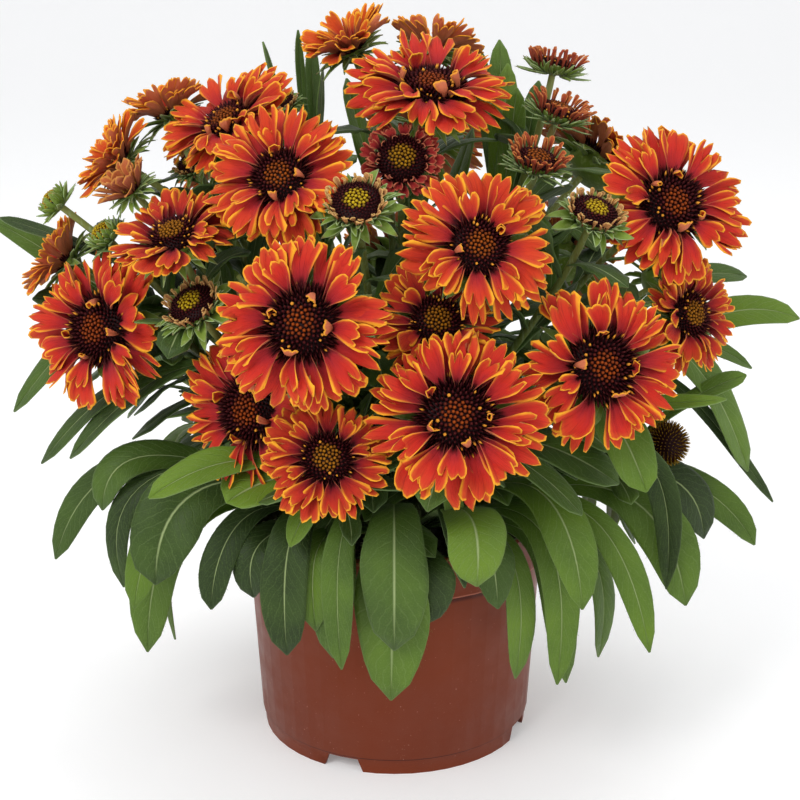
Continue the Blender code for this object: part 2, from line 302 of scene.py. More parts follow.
SOIL_LOW, SOIL_HIGH = (np.array(corner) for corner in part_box("potting_mix"))
SOIL_LEVEL = SOIL_HIGH[2]
SOIL_RADIUS = SOIL_HIGH[0]
SOIL_RINGS, SOIL_STEPS = 34, 120
# How narrow the foot of the fill is, and the seed, spacing and height of its two fields of lumps
SOIL_TAPER = 0.93
SOIL_LUMPS = ((3, 0.03, 0.004), (4, 0.008, 0.003))
LUMP_WAVES = 14
CRUMBS = 420
PERLITE = 110
GRAIN_SIDES = 6
PEAT = ((0.3, (0.008, 0.005, 0.003)), (0.55, (0.03, 0.018, 0.01)), (0.8, (0.11, 0.06, 0.03)))
PERLITE_WHITES = ((0.35, (0.3, 0.25, 0.18)), (0.6, (0.75, 0.72, 0.66)))


def lumps(x, y, seed, scale):
    """A soft uneven field: the mean of sine waves that run in scattered directions."""
    draw = np.random.default_rng(seed)
    ways = draw.uniform(0, math.tau, LUMP_WAVES)
    starts = draw.uniform(0, math.tau, LUMP_WAVES)
    lengths = draw.uniform(0.6, 1.7, LUMP_WAVES)
    field = np.zeros(np.shape(x))
    for way, start, length in zip(ways, starts, lengths):
        along = x * math.cos(way) + y * math.sin(way)
        field += np.sin(along * math.tau / (scale * length) + start)
    return field / LUMP_WAVES


def soil_height(x, y):
    """The level of the mix: broad lumps with smaller ones on them."""
    height = SOIL_LEVEL
    for seed, scale, rise in SOIL_LUMPS:
        height = height + lumps(x, y, seed, scale) * rise
    return height


def make_soil():
    """A disc of rings with a lumpy top, on a wall that narrows towards the floor of the pot."""
    share = np.linspace(1, 0.02, SOIL_RINGS)[::-1]
    around = np.linspace(0, math.tau, SOIL_STEPS, endpoint=False)
    radius, turn = np.meshgrid(share * SOIL_RADIUS, around, indexing="ij")
    x, y = radius * np.cos(turn), radius * np.sin(turn)
    top = np.stack([x, y, soil_height(x, y)], axis=-1)
    wall = top[-1] * (SOIL_TAPER, SOIL_TAPER, 0)
    wall[:, 2] = SOIL_LOW[2]
    rings = np.concatenate([top, wall[None]])
    places = rings.reshape(-1, 3)
    poles = [(0, 0, SOIL_LEVEL), (0, 0, SOIL_LOW[2])]
    count = len(places)
    caps = fans(SOIL_STEPS, 0, count - SOIL_STEPS, count, count + 1)
    return mesh_piece(
        "potting_mix_fill",
        np.concatenate([places, poles]),
        ring_quads(SOIL_RINGS + 1, SOIL_STEPS),
        caps,
        material=soil_mix(),
    )


def soil_mix():
    """Near-black brown crumbs with paler bark fibres, rough all over."""
    look = Nodes("potting_mix", 0.95)
    where = look.place()
    crumb = look.noise(where, 220, 6, 0.7)
    look.colour(look.ramp(crumb, *PEAT))
    look.rough(look.between(crumb, -2, 1))
    look.bump(crumb, 0.002, 1.0)
    return look.material


def perlite_white():
    """Expanded volcanic glass: off-white, pitted grains stained brown on one side."""
    look = Nodes("perlite", 0.9)
    pits = look.noise(look.place(), 900, 4)
    look.colour(look.ramp(pits, *PERLITE_WHITES))
    look.rough(look.between(pits, -2, 1))
    look.bump(pits, 0.0004, 0.8)
    return look.material


def scattered_grains(name, count, smallest, largest, seed, material):
    """Grains on the mix: six-sided lumps with two rings and two poles, each of its own size."""
    draw = np.random.default_rng(seed)
    steps = GRAIN_SIDES
    far = np.sqrt(draw.uniform(0.09, 0.97, count)) * SOIL_RADIUS
    turn = draw.uniform(0, math.tau, count)
    x, y = far * np.cos(turn), far * np.sin(turn)
    size = draw.uniform(smallest, largest, count)
    z = soil_height(x, y) + size * 0.2
    ring = np.arange(steps) / steps * math.tau
    wobble = draw.uniform(0.65, 1.15, (count, 2, steps))
    level = np.array([0.45, -0.35])[None, :, None] * draw.uniform(0.7, 1.1, (count, 2, steps))
    shape = np.stack(
        [np.cos(ring) * wobble, np.sin(ring) * wobble, level],
        axis=-1,
    ).reshape(count, -1, 3)
    poles = np.broadcast_to(np.array([(0, 0, 0.9), (0, 0, -0.8)]), (count, 2, 3))
    grains = np.concatenate([shape, poles], axis=1) * size[:, None, None]
    grains += np.stack([x, y, z], axis=-1)[:, None, :]
    each = 2 * steps + 2
    shift = (np.arange(count) * each)[:, None, None]
    sides = ring_quads(2, steps)[None] + shift
    caps = fans(steps, 0, steps, 2 * steps, 2 * steps + 1)[None] + shift
    return mesh_piece(name, grains.reshape(-1, 3), sides, caps, material=material, smooth=False)


soil = make_soil()
crumbs = scattered_grains("bark_crumbs", CRUMBS, 0.0012, 0.0042, 11, soil_mix())
grains = scattered_grains("perlite_grains", PERLITE, 0.0008, 0.0022, 12, perlite_white())
for piece in (soil, crumbs, grains):
    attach(piece, "root")
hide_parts("potting_mix")


# The root crown and the stems. The crown is a short woody knot at the top of the taproot, and
# each stem rises from it in one long curve to the back of its flower head. Stems are round,
# ribbed, pale green with a breath of red, and hairy all over. Crown and stems grew as one piece.

CROWN = np.array((0, 0, SOIL_LEVEL + 0.004))
CROWN_RADIUS = 0.020
# Heights of the top of the knot and of the end of the taproot over the middle of the crown, in
# metres, and the levels and radii of the circles between them in mm
KNOT_TOP = 0.0175
ROOT_END = -0.053
KNOT_LEVELS = (17, 14.5, 10, 4, -2, -8, -14, -30, -50)
KNOT_RADII = (3, 11, 16.5, 18.6, 19, 17, 10, 6, 2.5)
MOUND_CENTRE = np.array((0, 0, 0.170))
STEM_RADIUS = 0.00155
# The straight length behind a head, and how far the two ends pull the curve of the stem, as shares
# of its length
NECK_LENGTH = 0.005
FOOT_PULL = 0.35
NECK_PULL = 0.3
STEM_SIDES = 10
STEM_STATIONS = 18
STEM_HAIRS = 80
STEM_GREENS = ((0.0, (0.04, 0.055, 0.012)), (0.5, (0.11, 0.15, 0.024)), (1.0, (0.26, 0.28, 0.07)))
STEM_BLUSH = (0.16, 0.06, 0.03)
STEM_RIB = (0.3, 0.38, 0.18)
# Shortest and longest hair on a stem, a bract and a leaf, and the width of them all
STEM_HAIR = (0.0009, 0.0022)
BRACT_HAIR = (0.0006, 0.0017)
LEAF_HAIR = (0.0008, 0.0022)
HAIR_WIDTH = 0.00005

# Each head's node, by the kind of head that it is
HEADS = {
    "bloom": [
        "bloom_front_low", "bloom_front_left", "bloom_right_low", "bloom_right", "bloom_left",
        "bloom_left_low", "bloom_top", "bloom_back_low", "bloom_back_left", "bloom_back_right",
        "bloom_back_upper", "bloom_back_upper_left", "bloom_back_upper_right",
    ],
    "fresh_bloom": ["bloom_front_right", "bloom_upper_left", "bloom_left_behind"],
    "young_bloom": [
        "bloom_right_behind", "bloom_middle", "bloom_low_left", "bloom_upper_left_small",
        "bloom_back_middle", "bloom_back_side",
    ],
    "dusky_bloom": ["bloom_dusky"],
    "folded_bloom": [
        "bloom_top_left", "bloom_top_behind", "bloom_side_view", "bloom_orange",
        "bloom_left_hidden",
    ],
    "closing_bloom": ["bloom_closing"],
    "half_bud": ["bud_middle", "bud_right", "bud_left_low"],
    "red_bud": ["bud_upper_right", "bud_top_right", "bud_top", "bud_back_left", "bud_back"],
    "green_bud": ["bud_left", "bud_left_green"],
    "seed_head": ["seed_head"],
}
# Two small buds between the heads on the left: kind, azimuth, radius and height of the middle in
# mm, azimuth and elevation in degrees that it faces, radius in metres
SMALL_BUDS = {
    "bud_small_left": ("half_bud", -92, 94, 279, -40, 52, 0.0095),
    "bud_small_top": ("half_bud", -100, 53, 306, -30, 62, 0.0085),
}
# How far behind a head's middle its stem meets it, as a share of its radius
BACK_SHARE = {"green_bud": 0.55, "seed_head": 0.8, "folded": 0.36, "open": 0.3}
CUPPED = ("folded_bloom", "closing_bloom", "half_bud", "red_bud")


def unit(vectors):
    return vectors / (np.linalg.norm(vectors, axis=-1, keepdims=True) + 1e-12)


def ways_round(first, second, turn):
    """The directions at each turn in radians, from the first direction towards the second."""
    turn = turn[..., None]
    return first * np.cos(turn) + second * np.sin(turn)


def head_facts(node, back):
    """The head's middle, axis and radius from its turned solid: the axis is the direction whose
    spread differs from the other two, and it points away from the middle of the mound."""
    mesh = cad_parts[node].data
    places = np.empty(len(mesh.vertices) * 3, dtype=np.float32)
    mesh.vertices.foreach_get("co", places)
    places = np.unique(np.round(places.reshape(-1, 3), 5), axis=0)
    mean = places.mean(axis=0)
    spread, ways = np.linalg.eigh(np.cov((places - mean).T))
    odd = 0 if spread[1] - spread[0] > spread[2] - spread[1] else 2
    axis = ways[:, odd] * np.sign(ways[:, odd] @ (mean - MOUND_CENTRE))
    along = (places - mean) @ axis
    radius = np.linalg.norm(places - mean - along[:, None] * axis, axis=1).max()
    return mean + axis * (along.min() + back * radius), axis, radius


def point_at(azimuth, radius, height):
    """A place from its azimuth in degrees from the front, and its radius and height in mm."""
    turn = math.radians(azimuth)
    return np.array((radius * math.sin(turn), -radius * math.cos(turn), height)) * MM


def all_heads():
    """Every head: its node, kind, middle, axis and radius, in a fixed order."""
    found = []
    for kind, nodes in HEADS.items():
        back = BACK_SHARE.get(kind, BACK_SHARE["folded" if kind in CUPPED else "open"])
        found += [(node, kind, back, *head_facts(node, back)) for node in nodes]
    for name, (kind, azimuth, radius, height, facing, rise, size) in SMALL_BUDS.items():
        turn, rise = math.radians(facing), math.radians(rise)
        flat = math.cos(rise)
        axis = np.array((flat * math.sin(turn), -flat * math.cos(turn), math.sin(rise)))
        place = point_at(azimuth, radius, height)
        found.append((name, kind, BACK_SHARE["folded"], place, axis, size))
    return found


def joined(parts):
    """Several parts, each (places, quads, triangles, values), as one with shifted face numbers."""
    shift, places, quads, triangles, values = 0, [], [], [], {}
    for spots, fours, threes, numbers in parts:
        places.append(np.reshape(spots, (-1, 3)))
        quads.append(np.reshape(fours, (-1, 4)) + shift)
        triangles.append(np.reshape(threes, (-1, 3)) + shift)
        for key, value in numbers.items():
            values.setdefault(key, []).append(np.ravel(value))
        shift += len(places[-1])
    values = {key: np.concatenate(value) for key, value in values.items()}
    return np.concatenate(places), np.concatenate(quads), np.concatenate(triangles), values


def tube(path, radii, sides):
    """A round skin along a path: at each station a circle of the station's radius stands square
    to the path, and a point at each end closes it."""
    ways = unit(np.gradient(path, axis=0))
    spread = np.abs(ways.mean(axis=0))
    across = unit(np.cross(ways, np.eye(3)[spread.argmin()]))
    over = np.cross(ways, across)
    turn = np.linspace(0, math.tau, sides, endpoint=False)
    circle = ways_round(across[:, None], over[:, None], turn)
    skin = path[:, None] + circle * np.asarray(radii)[:, None, None]
    places = np.concatenate([skin.reshape(-1, 3), path[:1], path[-1:]])
    count = len(path) * sides
    along = np.repeat(np.linspace(0, 1, len(path)), sides)
    values = {"along": np.append(along, (0, 1))}
    caps = fans(sides, count - sides, 0, count + 1, count)
    return places, ring_quads(len(path), sides)[:, ::-1], caps, values


def spikes(roots, ways, lengths, **numbers):
    """Fine hairs: at each root a pyramid on three points, as long as its length."""
    count = len(roots)
    ways = unit(ways)
    side = unit(np.cross(ways, ways[:, [1, 2, 0]] + 0.13))
    over = np.cross(ways, side)
    ring = ways_round(side[:, None], over[:, None], np.arange(3) / 3 * math.tau)
    base = roots[:, None] + ring * HAIR_WIDTH
    tip = (roots + ways * lengths[:, None])[:, None]
    places = np.concatenate([base, tip], axis=1).reshape(-1, 3)
    shift = (np.arange(count) * 4)[:, None, None]
    faces = np.array([(0, 1, 3), (1, 2, 3), (2, 0, 3), (2, 1, 0)]) + shift
    values = {key: np.full(len(places), number) for key, number in numbers.items()}
    return places, np.zeros((0, 4)), faces, values


def stem_path(middle, axis, radius, back):
    """A cubic curve from inside the crown to the neck behind the head, then straight into it."""
    neck = middle - axis * (radius * back + NECK_LENGTH)
    towards = unit(neck - CROWN)
    start = CROWN + towards * CROWN_RADIUS * 0.5
    length = np.linalg.norm(neck - start)
    first = start + unit(towards + np.array((0, 0, 0.25))) * length * FOOT_PULL
    last = neck - axis * length * NECK_PULL
    share = np.linspace(0, 1, STEM_STATIONS)[:, None]
    rest = 1 - share
    curve = start * rest**3 + first * 3 * share * rest**2
    curve = curve + last * 3 * share**2 * rest + neck * share**3
    into = middle - axis * radius * back * np.array([[0.9], [0.45]])
    return np.concatenate([curve, into])


def stem_green():
    """Pale green with a reddish side, fine ribs along the stem and a bloom of short hairs."""
    look = Nodes("stem_green", 0.6)
    where = look.place()
    along = look.carried("along")
    base = look.ramp(along, *STEM_GREENS)
    blush = look.between(look.noise(where, 45, 3), 0.5, 0.75)
    base = look.tint(base, blush, 0.55, STEM_BLUSH)
    rib = look.noise(look.stretched(where, (900, 900, 60)), 1.0, 3)
    base = look.mix(look.between(rib, 0.5, 0.8), base, STEM_RIB)
    look.colour(base)
    look.rough(look.between(rib, -0.6, 1.6))
    look.shine(0.25)
    look.bump(rib, 0.0003, 0.5)
    return look.material


def make_crown():
    """A lumpy knot: circles whose radius is the root's, with a slow wave round each of them."""
    steps = 40
    level, radius = np.array(KNOT_LEVELS) * MM, np.array(KNOT_RADII) * MM
    turn = np.linspace(0, math.tau, steps, endpoint=False)
    wave = 1 + 0.05 * np.sin(turn * 5 + level[:, None] * 300) + 0.03 * np.sin(turn * 11)
    wide = radius[:, None] * wave
    height = np.broadcast_to(level[:, None], wide.shape)
    ring = np.stack([wide * np.cos(turn), wide * np.sin(turn), height], axis=-1)
    places = np.concatenate([ring.reshape(-1, 3), [(0, 0, KNOT_TOP), (0, 0, ROOT_END)]]) + CROWN
    count = ring[..., 0].size
    caps = fans(steps, 0, count - steps, count, count + 1)
    return places, ring_quads(len(level), steps), caps, {"along": np.zeros(len(places))}


heads = all_heads()
stem_parts = [make_crown()]
draw = np.random.default_rng(21)
for node, kind, back, middle, axis, radius in heads:
    path = stem_path(middle, axis, radius, back)
    thick = STEM_RADIUS * np.linspace(1.3, 1.0, len(path))
    stem_parts.append(tube(path, thick, STEM_SIDES))
    spot = draw.uniform(0.35, 0.99, STEM_HAIRS) * (STEM_STATIONS - 1)
    low = np.floor(spot).astype(int)
    core = path[low] + (path[low + 1] - path[low]) * (spot - low)[:, None]
    out = unit(np.cross(path[low + 1] - path[low], draw.normal(0, 1, (STEM_HAIRS, 3))))
    root = core + out * STEM_RADIUS * 0.9
    hair = draw.uniform(*STEM_HAIR, STEM_HAIRS)
    stem_parts.append(spikes(root, out, hair, along=1.0))
stems = mesh_piece("crown_with_stems", *joined(stem_parts), material=stem_green())
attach(stems, "root")
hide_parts("crown_and_stems")


# The ray florets, the petals of a blanket flower: thin velvety strips that are a narrow tube where
# they leave the disc and open to a wide tip cut into three lobes. They sit in two to four whorls.
# Their upper side runs from maroon over crimson to vermilion, with a yellow edge, and their back
# is a paler, veined salmon.

RAY_ACROSS = np.array([-1, -0.86, -0.64, -0.4, -0.22, 0, 0.22, 0.4, 0.64, 0.86, 1])
RAY_ALONG = np.array([0, 0.16, 0.36, 0.58, 0.78, 0.92, 1])
SMALL_RAY_ACROSS = np.array([-1, -0.55, 0, 0.55, 1])
SMALL_RAY_ALONG = np.array([0, 0.3, 0.6, 0.85, 1])
SMALL_RAYED = ("half_bud", "red_bud", "closing_bloom")
RAY_THICKNESS = 0.00035
# Where the two notches of the tip lie, as a share of the way from the middle line to the edge
NOTCH_AT = 0.4
# A ray is a tube at its foot, with this share of its full width, and is fully open this far along
TUBE_SHARE = 0.24
OPEN_AT = 0.72
# Shares of a ray's length: how much its corners are rounded off. Shares of its half width: how far
# the notches sink and how far the tip waves
CORNER_CUT = 0.13
NOTCH_SINK = 0.15
TIP_WAVE = 0.12
# How much single blades stray: their turn as a share of one's room, their bend to the side, lift,
# level and twist in radians, and their length, width and cut as shares of them
TURN_STRAY = 0.24
BEND_STRAY = 0.09
LIFT_STRAY = 0.13
LEVEL_STRAY = 0.22
TWIST_STRAY = 0.36
LENGTH_STRAY = 0.07
WIDTH_STRAY = 0.09
CUT_STRAY = 0.3

# Whorls, outermost first: count, radius where they start, height there, length and width as
# shares of the head's radius, lift at the base and at the tip in degrees, roll at the base and
# at the tip in radians, and how deep the tip is cut
WHORLS = {
    "bloom": [
        (13, 0.34, 0.0, 0.7, 0.44, 14, -14, 1.3, 0.28, 0.34),
        (12, 0.34, 0.05, 0.63, 0.41, 30, -4, 1.5, 0.38, 0.34),
        (6, 0.34, 0.09, 0.46, 0.3, 46, 6, 1.7, 0.7, 0.28),
        (4, 0.36, 0.1, 0.26, 0.2, 66, 130, 1.8, 1.5, 0.05),
    ],
    "fresh_bloom": [
        (13, 0.3, 0.0, 0.74, 0.43, 18, -10, 1.3, 0.28, 0.32),
        (12, 0.3, 0.05, 0.66, 0.41, 34, -2, 1.5, 0.38, 0.32),
        (6, 0.3, 0.08, 0.46, 0.3, 46, 8, 1.7, 0.6, 0.2),
        (3, 0.34, 0.1, 0.24, 0.2, 66, 130, 1.8, 1.5, 0.05),
    ],
    "young_bloom": [
        (12, 0.36, 0.0, 0.68, 0.45, 20, -6, 1.4, 0.3, 0.32),
        (11, 0.35, 0.05, 0.58, 0.41, 34, 2, 1.6, 0.45, 0.32),
        (5, 0.34, 0.08, 0.38, 0.28, 48, 12, 1.7, 0.7, 0.22),
    ],
    "dusky_bloom": [
        (17, 0.68, 0.0, 0.48, 0.38, 34, -2, 1.4, 0.5, 0.24),
        (16, 0.66, 0.04, 0.38, 0.34, 50, 14, 1.5, 0.8, 0.24),
        (13, 0.66, 0.06, 0.24, 0.2, 64, 110, 1.8, 1.5, 0.05),
    ],
    "folded_bloom": [
        (11, 0.28, 0.0, 1.05, 0.54, 40, 6, 1.4, 0.4, 0.22),
        (10, 0.28, 0.06, 0.95, 0.5, 54, 24, 1.6, 0.5, 0.22),
        (5, 0.26, 0.1, 0.75, 0.42, 68, 40, 1.8, 0.8, 0.2),
    ],
    "closing_bloom": [
        (13, 0.3, 0.0, 1.0, 0.42, 34, 58, 2.0, 1.4, 0.14),
        (11, 0.26, 0.06, 0.85, 0.38, 52, 80, 2.0, 1.5, 0.14),
    ],
    "half_bud": [
        (19, 0.78, -0.12, 0.46, 0.19, 74, 60, 1.7, 1.5, 0.0),
        (18, 0.74, -0.04, 0.33, 0.17, 84, 74, 1.7, 1.5, 0.0),
    ],
    "red_bud": [
        (18, 0.66, -0.12, 0.72, 0.22, 60, 48, 1.9, 1.8, 0.0),
        (17, 0.64, -0.04, 0.54, 0.2, 74, 62, 1.9, 1.8, 0.0),
    ],
    "seed_head": [(3, 0.6, -0.5, 1.9, 0.7, -52, -84, 1.6, 1.1, 0.1)],
}


def closed_sheets(points, thickness, values):
    """Thin closed sheets from grids of points: each grid is laid twice, half the thickness above
    and below along its normals, and its border points are joined with a narrow wall."""
    count, rows, columns, _ = points.shape
    normal = unit(np.cross(np.gradient(points, axis=1), np.gradient(points, axis=2)))
    half = normal * thickness / 2
    places = np.concatenate([(points + half).reshape(-1, 3), (points - half).reshape(-1, 3)])
    total = count * rows * columns
    here = np.arange(total).reshape(count, rows, columns)
    corners = [here[:, :-1, :-1], here[:, 1:, :-1], here[:, 1:, 1:], here[:, :-1, 1:]]
    face = np.stack(corners, axis=-1).reshape(-1, 4)
    border = np.concatenate(
        [here[:, :-1, 0], here[:, -1, :-1], here[:, :0:-1, -1], here[:, 0, :0:-1]], axis=1
    )
    after = np.roll(border, -1, axis=1)
    wall = np.stack([after, border, border + total, after + total], axis=-1).reshape(-1, 4)
    quads = np.concatenate([face, face[:, ::-1] + total, wall])
    doubled = {
        key: np.tile(np.broadcast_to(numbers, here.shape).ravel(), 2)
        for key, numbers in values.items()
    }
    doubled["under"] = np.repeat((0.0, 1.0), total)
    return places, quads, np.zeros((0, 3)), doubled


def basis(axis):
    """Two directions square to the axis and to each other."""
    first = unit(np.cross(axis, np.eye(3)[np.abs(axis).argmin()]))
    return first, np.cross(axis, first)


def whorl(seat, row, draw, grid, outline="ray"):
    """One ring of blades. A blade's middle line is an arc whose slope goes evenly from its lift at
    the base to that at the tip; across it, the blade is an arc of a circle that unrolls."""
    middle, axis, radius = seat
    across, run_along, thickness = grid
    count, start, rise, length, width, lift, level, roll, flat, cut = row
    first, second = basis(axis)

    def each(mean, spread):
        return draw.normal(mean, spread, (count, 1, 1))

    u = across[None, None, :]
    v = run_along[None, :, None]
    turn = (np.arange(count)[:, None, None] + each(0, TURN_STRAY)) / count * math.tau
    turn = turn + draw.uniform(0, math.tau) + each(0, BEND_STRAY) * v**2
    low = np.radians(lift) + each(0, LIFT_STRAY)
    high = np.radians(level) + each(0, LEVEL_STRAY)
    size = radius * length * np.clip(each(1, LENGTH_STRAY), 0.84, 1.08)
    wide = radius * width / 2 * np.clip(each(1, WIDTH_STRAY), 0.8, 1.2)
    if outline == "ray":
        notch = 1 - np.abs(np.cos(math.pi * u / (2 * NOTCH_AT))) ** 0.85
        uneven = np.clip(each(1, CUT_STRAY) + np.sign(u) * each(0, CUT_STRAY), 0.2, 1.7)
        run = v * (1 - (cut * notch * uneven + CORNER_CUT * np.abs(u) ** 3) * v**2)
        open_up = np.clip(v / OPEN_AT, 0, 1)
        swell = open_up**1.3 * (1.6 - 0.6 * open_up)
        half = wide * (TUBE_SHARE + (1 - TUBE_SHARE) * swell)
    else:
        notch = np.zeros_like(u)
        run = v
        half = wide * np.clip(np.sin(math.pi * (0.2 + 0.8 * v)) ** 0.8, 0.05, 1)
    bend = high - low
    bend = np.where(np.abs(bend) < 0.05, 0.05, bend)
    slope = low + bend * run
    out = start * radius + size * (np.sin(slope) - np.sin(low)) / bend
    up = rise * radius + size * (np.cos(low) - np.cos(slope)) / bend
    curl = np.clip(roll * (1 - v) ** 1.4 + flat * (1 + each(0, 0.5)), 0.05, 2.9)
    side = half * np.sin(curl * u) / curl
    hump = half * (1 - np.cos(curl * u)) / curl
    hump = hump - half * NOTCH_SINK * notch * v
    hump = hump + half * TIP_WAVE * np.sin(u * 3 + each(0, 2)) * v**2
    twist = each(0, TWIST_STRAY) * v
    flat_side, flat_hump = side, hump
    side = flat_side * np.cos(twist) - flat_hump * np.sin(twist)
    hump = flat_side * np.sin(twist) + flat_hump * np.cos(twist)
    outward = ways_round(first, second, turn)
    around = ways_round(second, -first, turn)
    points = (
        middle
        + outward * (out - hump * np.sin(slope))[..., None]
        + around * side[..., None]
        + axis * (up + hump * np.cos(slope))[..., None]
    )
    edge = np.minimum(half * (1 - np.abs(u)), size * (1 - v) * 0.9) * 1000
    values = {"along": v, "across": u, "edge": edge, "own": draw.uniform(0, 1, (count, 1, 1))}
    return closed_sheets(points, thickness, values)


def petal_velvet(name, base, middle, tip, rim, back, rim_width):
    """Along the ray from base over middle to tip, with darker veins. Towards the tip a warmer wash
    and then the rim's colour come in near the edge. The under side is the back's colour, veined."""
    look = Nodes(name, 0.62)
    along, across = look.carried("along"), look.carried("across")
    own, edge, under = look.carried("own"), look.carried("edge"), look.carried("under")
    place = {"X": across, "Y": along, "Z": look.times(own, 40)}
    flow = look.add("ShaderNodeCombineXYZ", place).outputs["Vector"]
    glow = np.array(tip) * 0.94 + np.array(rim) * 0.05
    warm = np.array(tip) * 0.8 + np.array(rim) * 0.16
    vein = look.noise(look.stretched(flow, (9, 1.1, 1)), 1.6, 4, 0.65)
    cloud = look.noise(look.stretched(flow, (1.4, 2.2, 1)), 1.0, 2)
    reach = look.plus(along, look.swing(cloud, 0.5))
    reach = look.plus(reach, look.swing(own, 0.16))
    colour = look.ramp(reach, (0.08, base), (0.26, middle), (0.66, tip), (1.0, tuple(glow)))
    dark = look.between(vein, 0.52, 0.75)
    colour = look.tint(colour, dark, 0.6, tuple(c * 0.5 for c in middle))
    near = look.plus(edge, look.swing(vein, 0.9))
    tipwards = look.between(along, 0.34, 0.8)
    wash = look.times(look.between(near, rim_width * 3.2, rim_width * 0.6), tipwards)
    colour = look.tint(colour, wash, 0.8, tuple(warm))
    rim_mask = look.between(near, rim_width * 1.25, rim_width * 0.3)
    rim_mask = look.times(rim_mask, tipwards)
    colour = look.mix(rim_mask, colour, rim)
    behind = look.ramp(reach, (0.1, tuple(c * 0.55 for c in back)), (0.7, back))
    behind = look.tint(behind, dark, 0.4, middle)
    behind = look.tint(behind, rim_mask, 0.8, rim)
    look.colour(look.mix(under, colour, behind))
    look.rough(look.between(vein, -0.9, 1.5))
    look.shine(0.14, 0.03)
    look.bump(look.plus(vein, look.times(cloud, 0.5)), 0.0008, 0.75)
    return look.material


MAROON = (0.05, 0.003, 0.006)
CRIMSON = (0.4, 0.02, 0.026)
VERMILION = (0.58, 0.026, 0.014)
YELLOW = (0.95, 0.42, 0.022)
SALMON = (0.66, 0.19, 0.085)
# The colours of the rays of each kind of head: base, middle, tip, rim, back, and the rim's width
RAY_COLOURS = {
    "bloom": (MAROON, CRIMSON, VERMILION, YELLOW, SALMON, 0.8),
    "fresh_bloom": (MAROON, (0.42, 0.02, 0.026), (0.6, 0.04, 0.013), YELLOW, SALMON, 0.85),
    "young_bloom": (MAROON, (0.26, 0.01, 0.016), (0.5, 0.028, 0.012), YELLOW, SALMON, 0.75),
    "dusky_bloom": (
        (0.03, 0.002, 0.005), (0.2, 0.01, 0.014), (0.36, 0.022, 0.02),
        (0.62, 0.19, 0.09), (0.3, 0.06, 0.045), 0.4,
    ),
    "folded_bloom": (
        (0.12, 0.006, 0.008), (0.42, 0.026, 0.014), (0.66, 0.075, 0.01),
        YELLOW, SALMON, 0.85,
    ),
    "closing_bloom": (
        (0.16, 0.02, 0.015), (0.34, 0.06, 0.03), (0.56, 0.14, 0.045),
        (0.72, 0.3, 0.06), (0.42, 0.12, 0.055), 0.6,
    ),
    "half_bud": (
        (0.08, 0.006, 0.012), (0.26, 0.05, 0.035), (0.62, 0.28, 0.1),
        (0.78, 0.48, 0.16), (0.6, 0.26, 0.09), 0.3,
    ),
    "red_bud": (
        (0.07, 0.004, 0.01), (0.2, 0.012, 0.016), (0.46, 0.08, 0.03),
        (0.7, 0.24, 0.06), (0.4, 0.065, 0.028), 0.3,
    ),
    "seed_head": (
        (0.06, 0.02, 0.015), (0.12, 0.04, 0.03), (0.2, 0.08, 0.05),
        (0.25, 0.12, 0.06), (0.14, 0.06, 0.04), 0.3,
    ),
}
PETALS = {kind: petal_velvet(f"{kind}_rays", *colours) for kind, colours in RAY_COLOURS.items()}

for number, (node, kind, back, middle, axis, radius) in enumerate(heads):
    if kind not in WHORLS:
        continue
    draw = np.random.default_rng(100 + number)
    small = kind in SMALL_RAYED
    across, along = (SMALL_RAY_ACROSS, SMALL_RAY_ALONG) if small else (RAY_ACROSS, RAY_ALONG)
    grid = (across, along, RAY_THICKNESS)
    parts = [whorl((middle, axis, radius), row, draw, grid) for row in WHORLS[kind]]
    rays = mesh_piece(f"{node}_rays", *joined(parts), material=PETALS[kind])
    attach(rays, "root")
    if kind != "seed_head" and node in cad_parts:
        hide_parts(node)


# The disc in the middle of each head: a low dome that is packed with small tubular florets in two
# sets of spirals. Those in the heart are still closed knobs, orange brown or golden; those
# further out have opened to dark maroon spikes, and here and there one carries yellow pollen.

GOLDEN_ANGLE = math.pi * (3 - math.sqrt(5))
FLORET_SIDES = 5
FLORET_STATIONS = np.array([0, 0.62])
KNOB = np.array([1.0, 0.92])
SPIKE = np.array([0.8, 0.5])
# How far a floret leans out with the dome, how much of its room it fills, and how many have pollen
FLORET_LEAN = 0.85
FLORET_FILL = 0.68
POLLEN_SHARE = 0.09
SPIKE_MAROONS = ((0.1, (0.01, 0.001, 0.002)), (0.6, (0.03, 0.002, 0.004)), (1.0, (0.1, 0.008, 0.006)))
KNOB_BROWNS = ((0.2, (0.03, 0.002, 0.001)), (0.6, (0.13, 0.012, 0.002)), (1.0, (0.4, 0.065, 0.003)))
KNOB_GOLDS = ((0.2, (0.16, 0.05, 0.002)), (0.6, (0.4, 0.26, 0.006)), (1.0, (0.6, 0.44, 0.012)))
DARK_FLORET = (0.04, 0.006, 0.006)
POLLEN = (0.74, 0.3, 0.03)

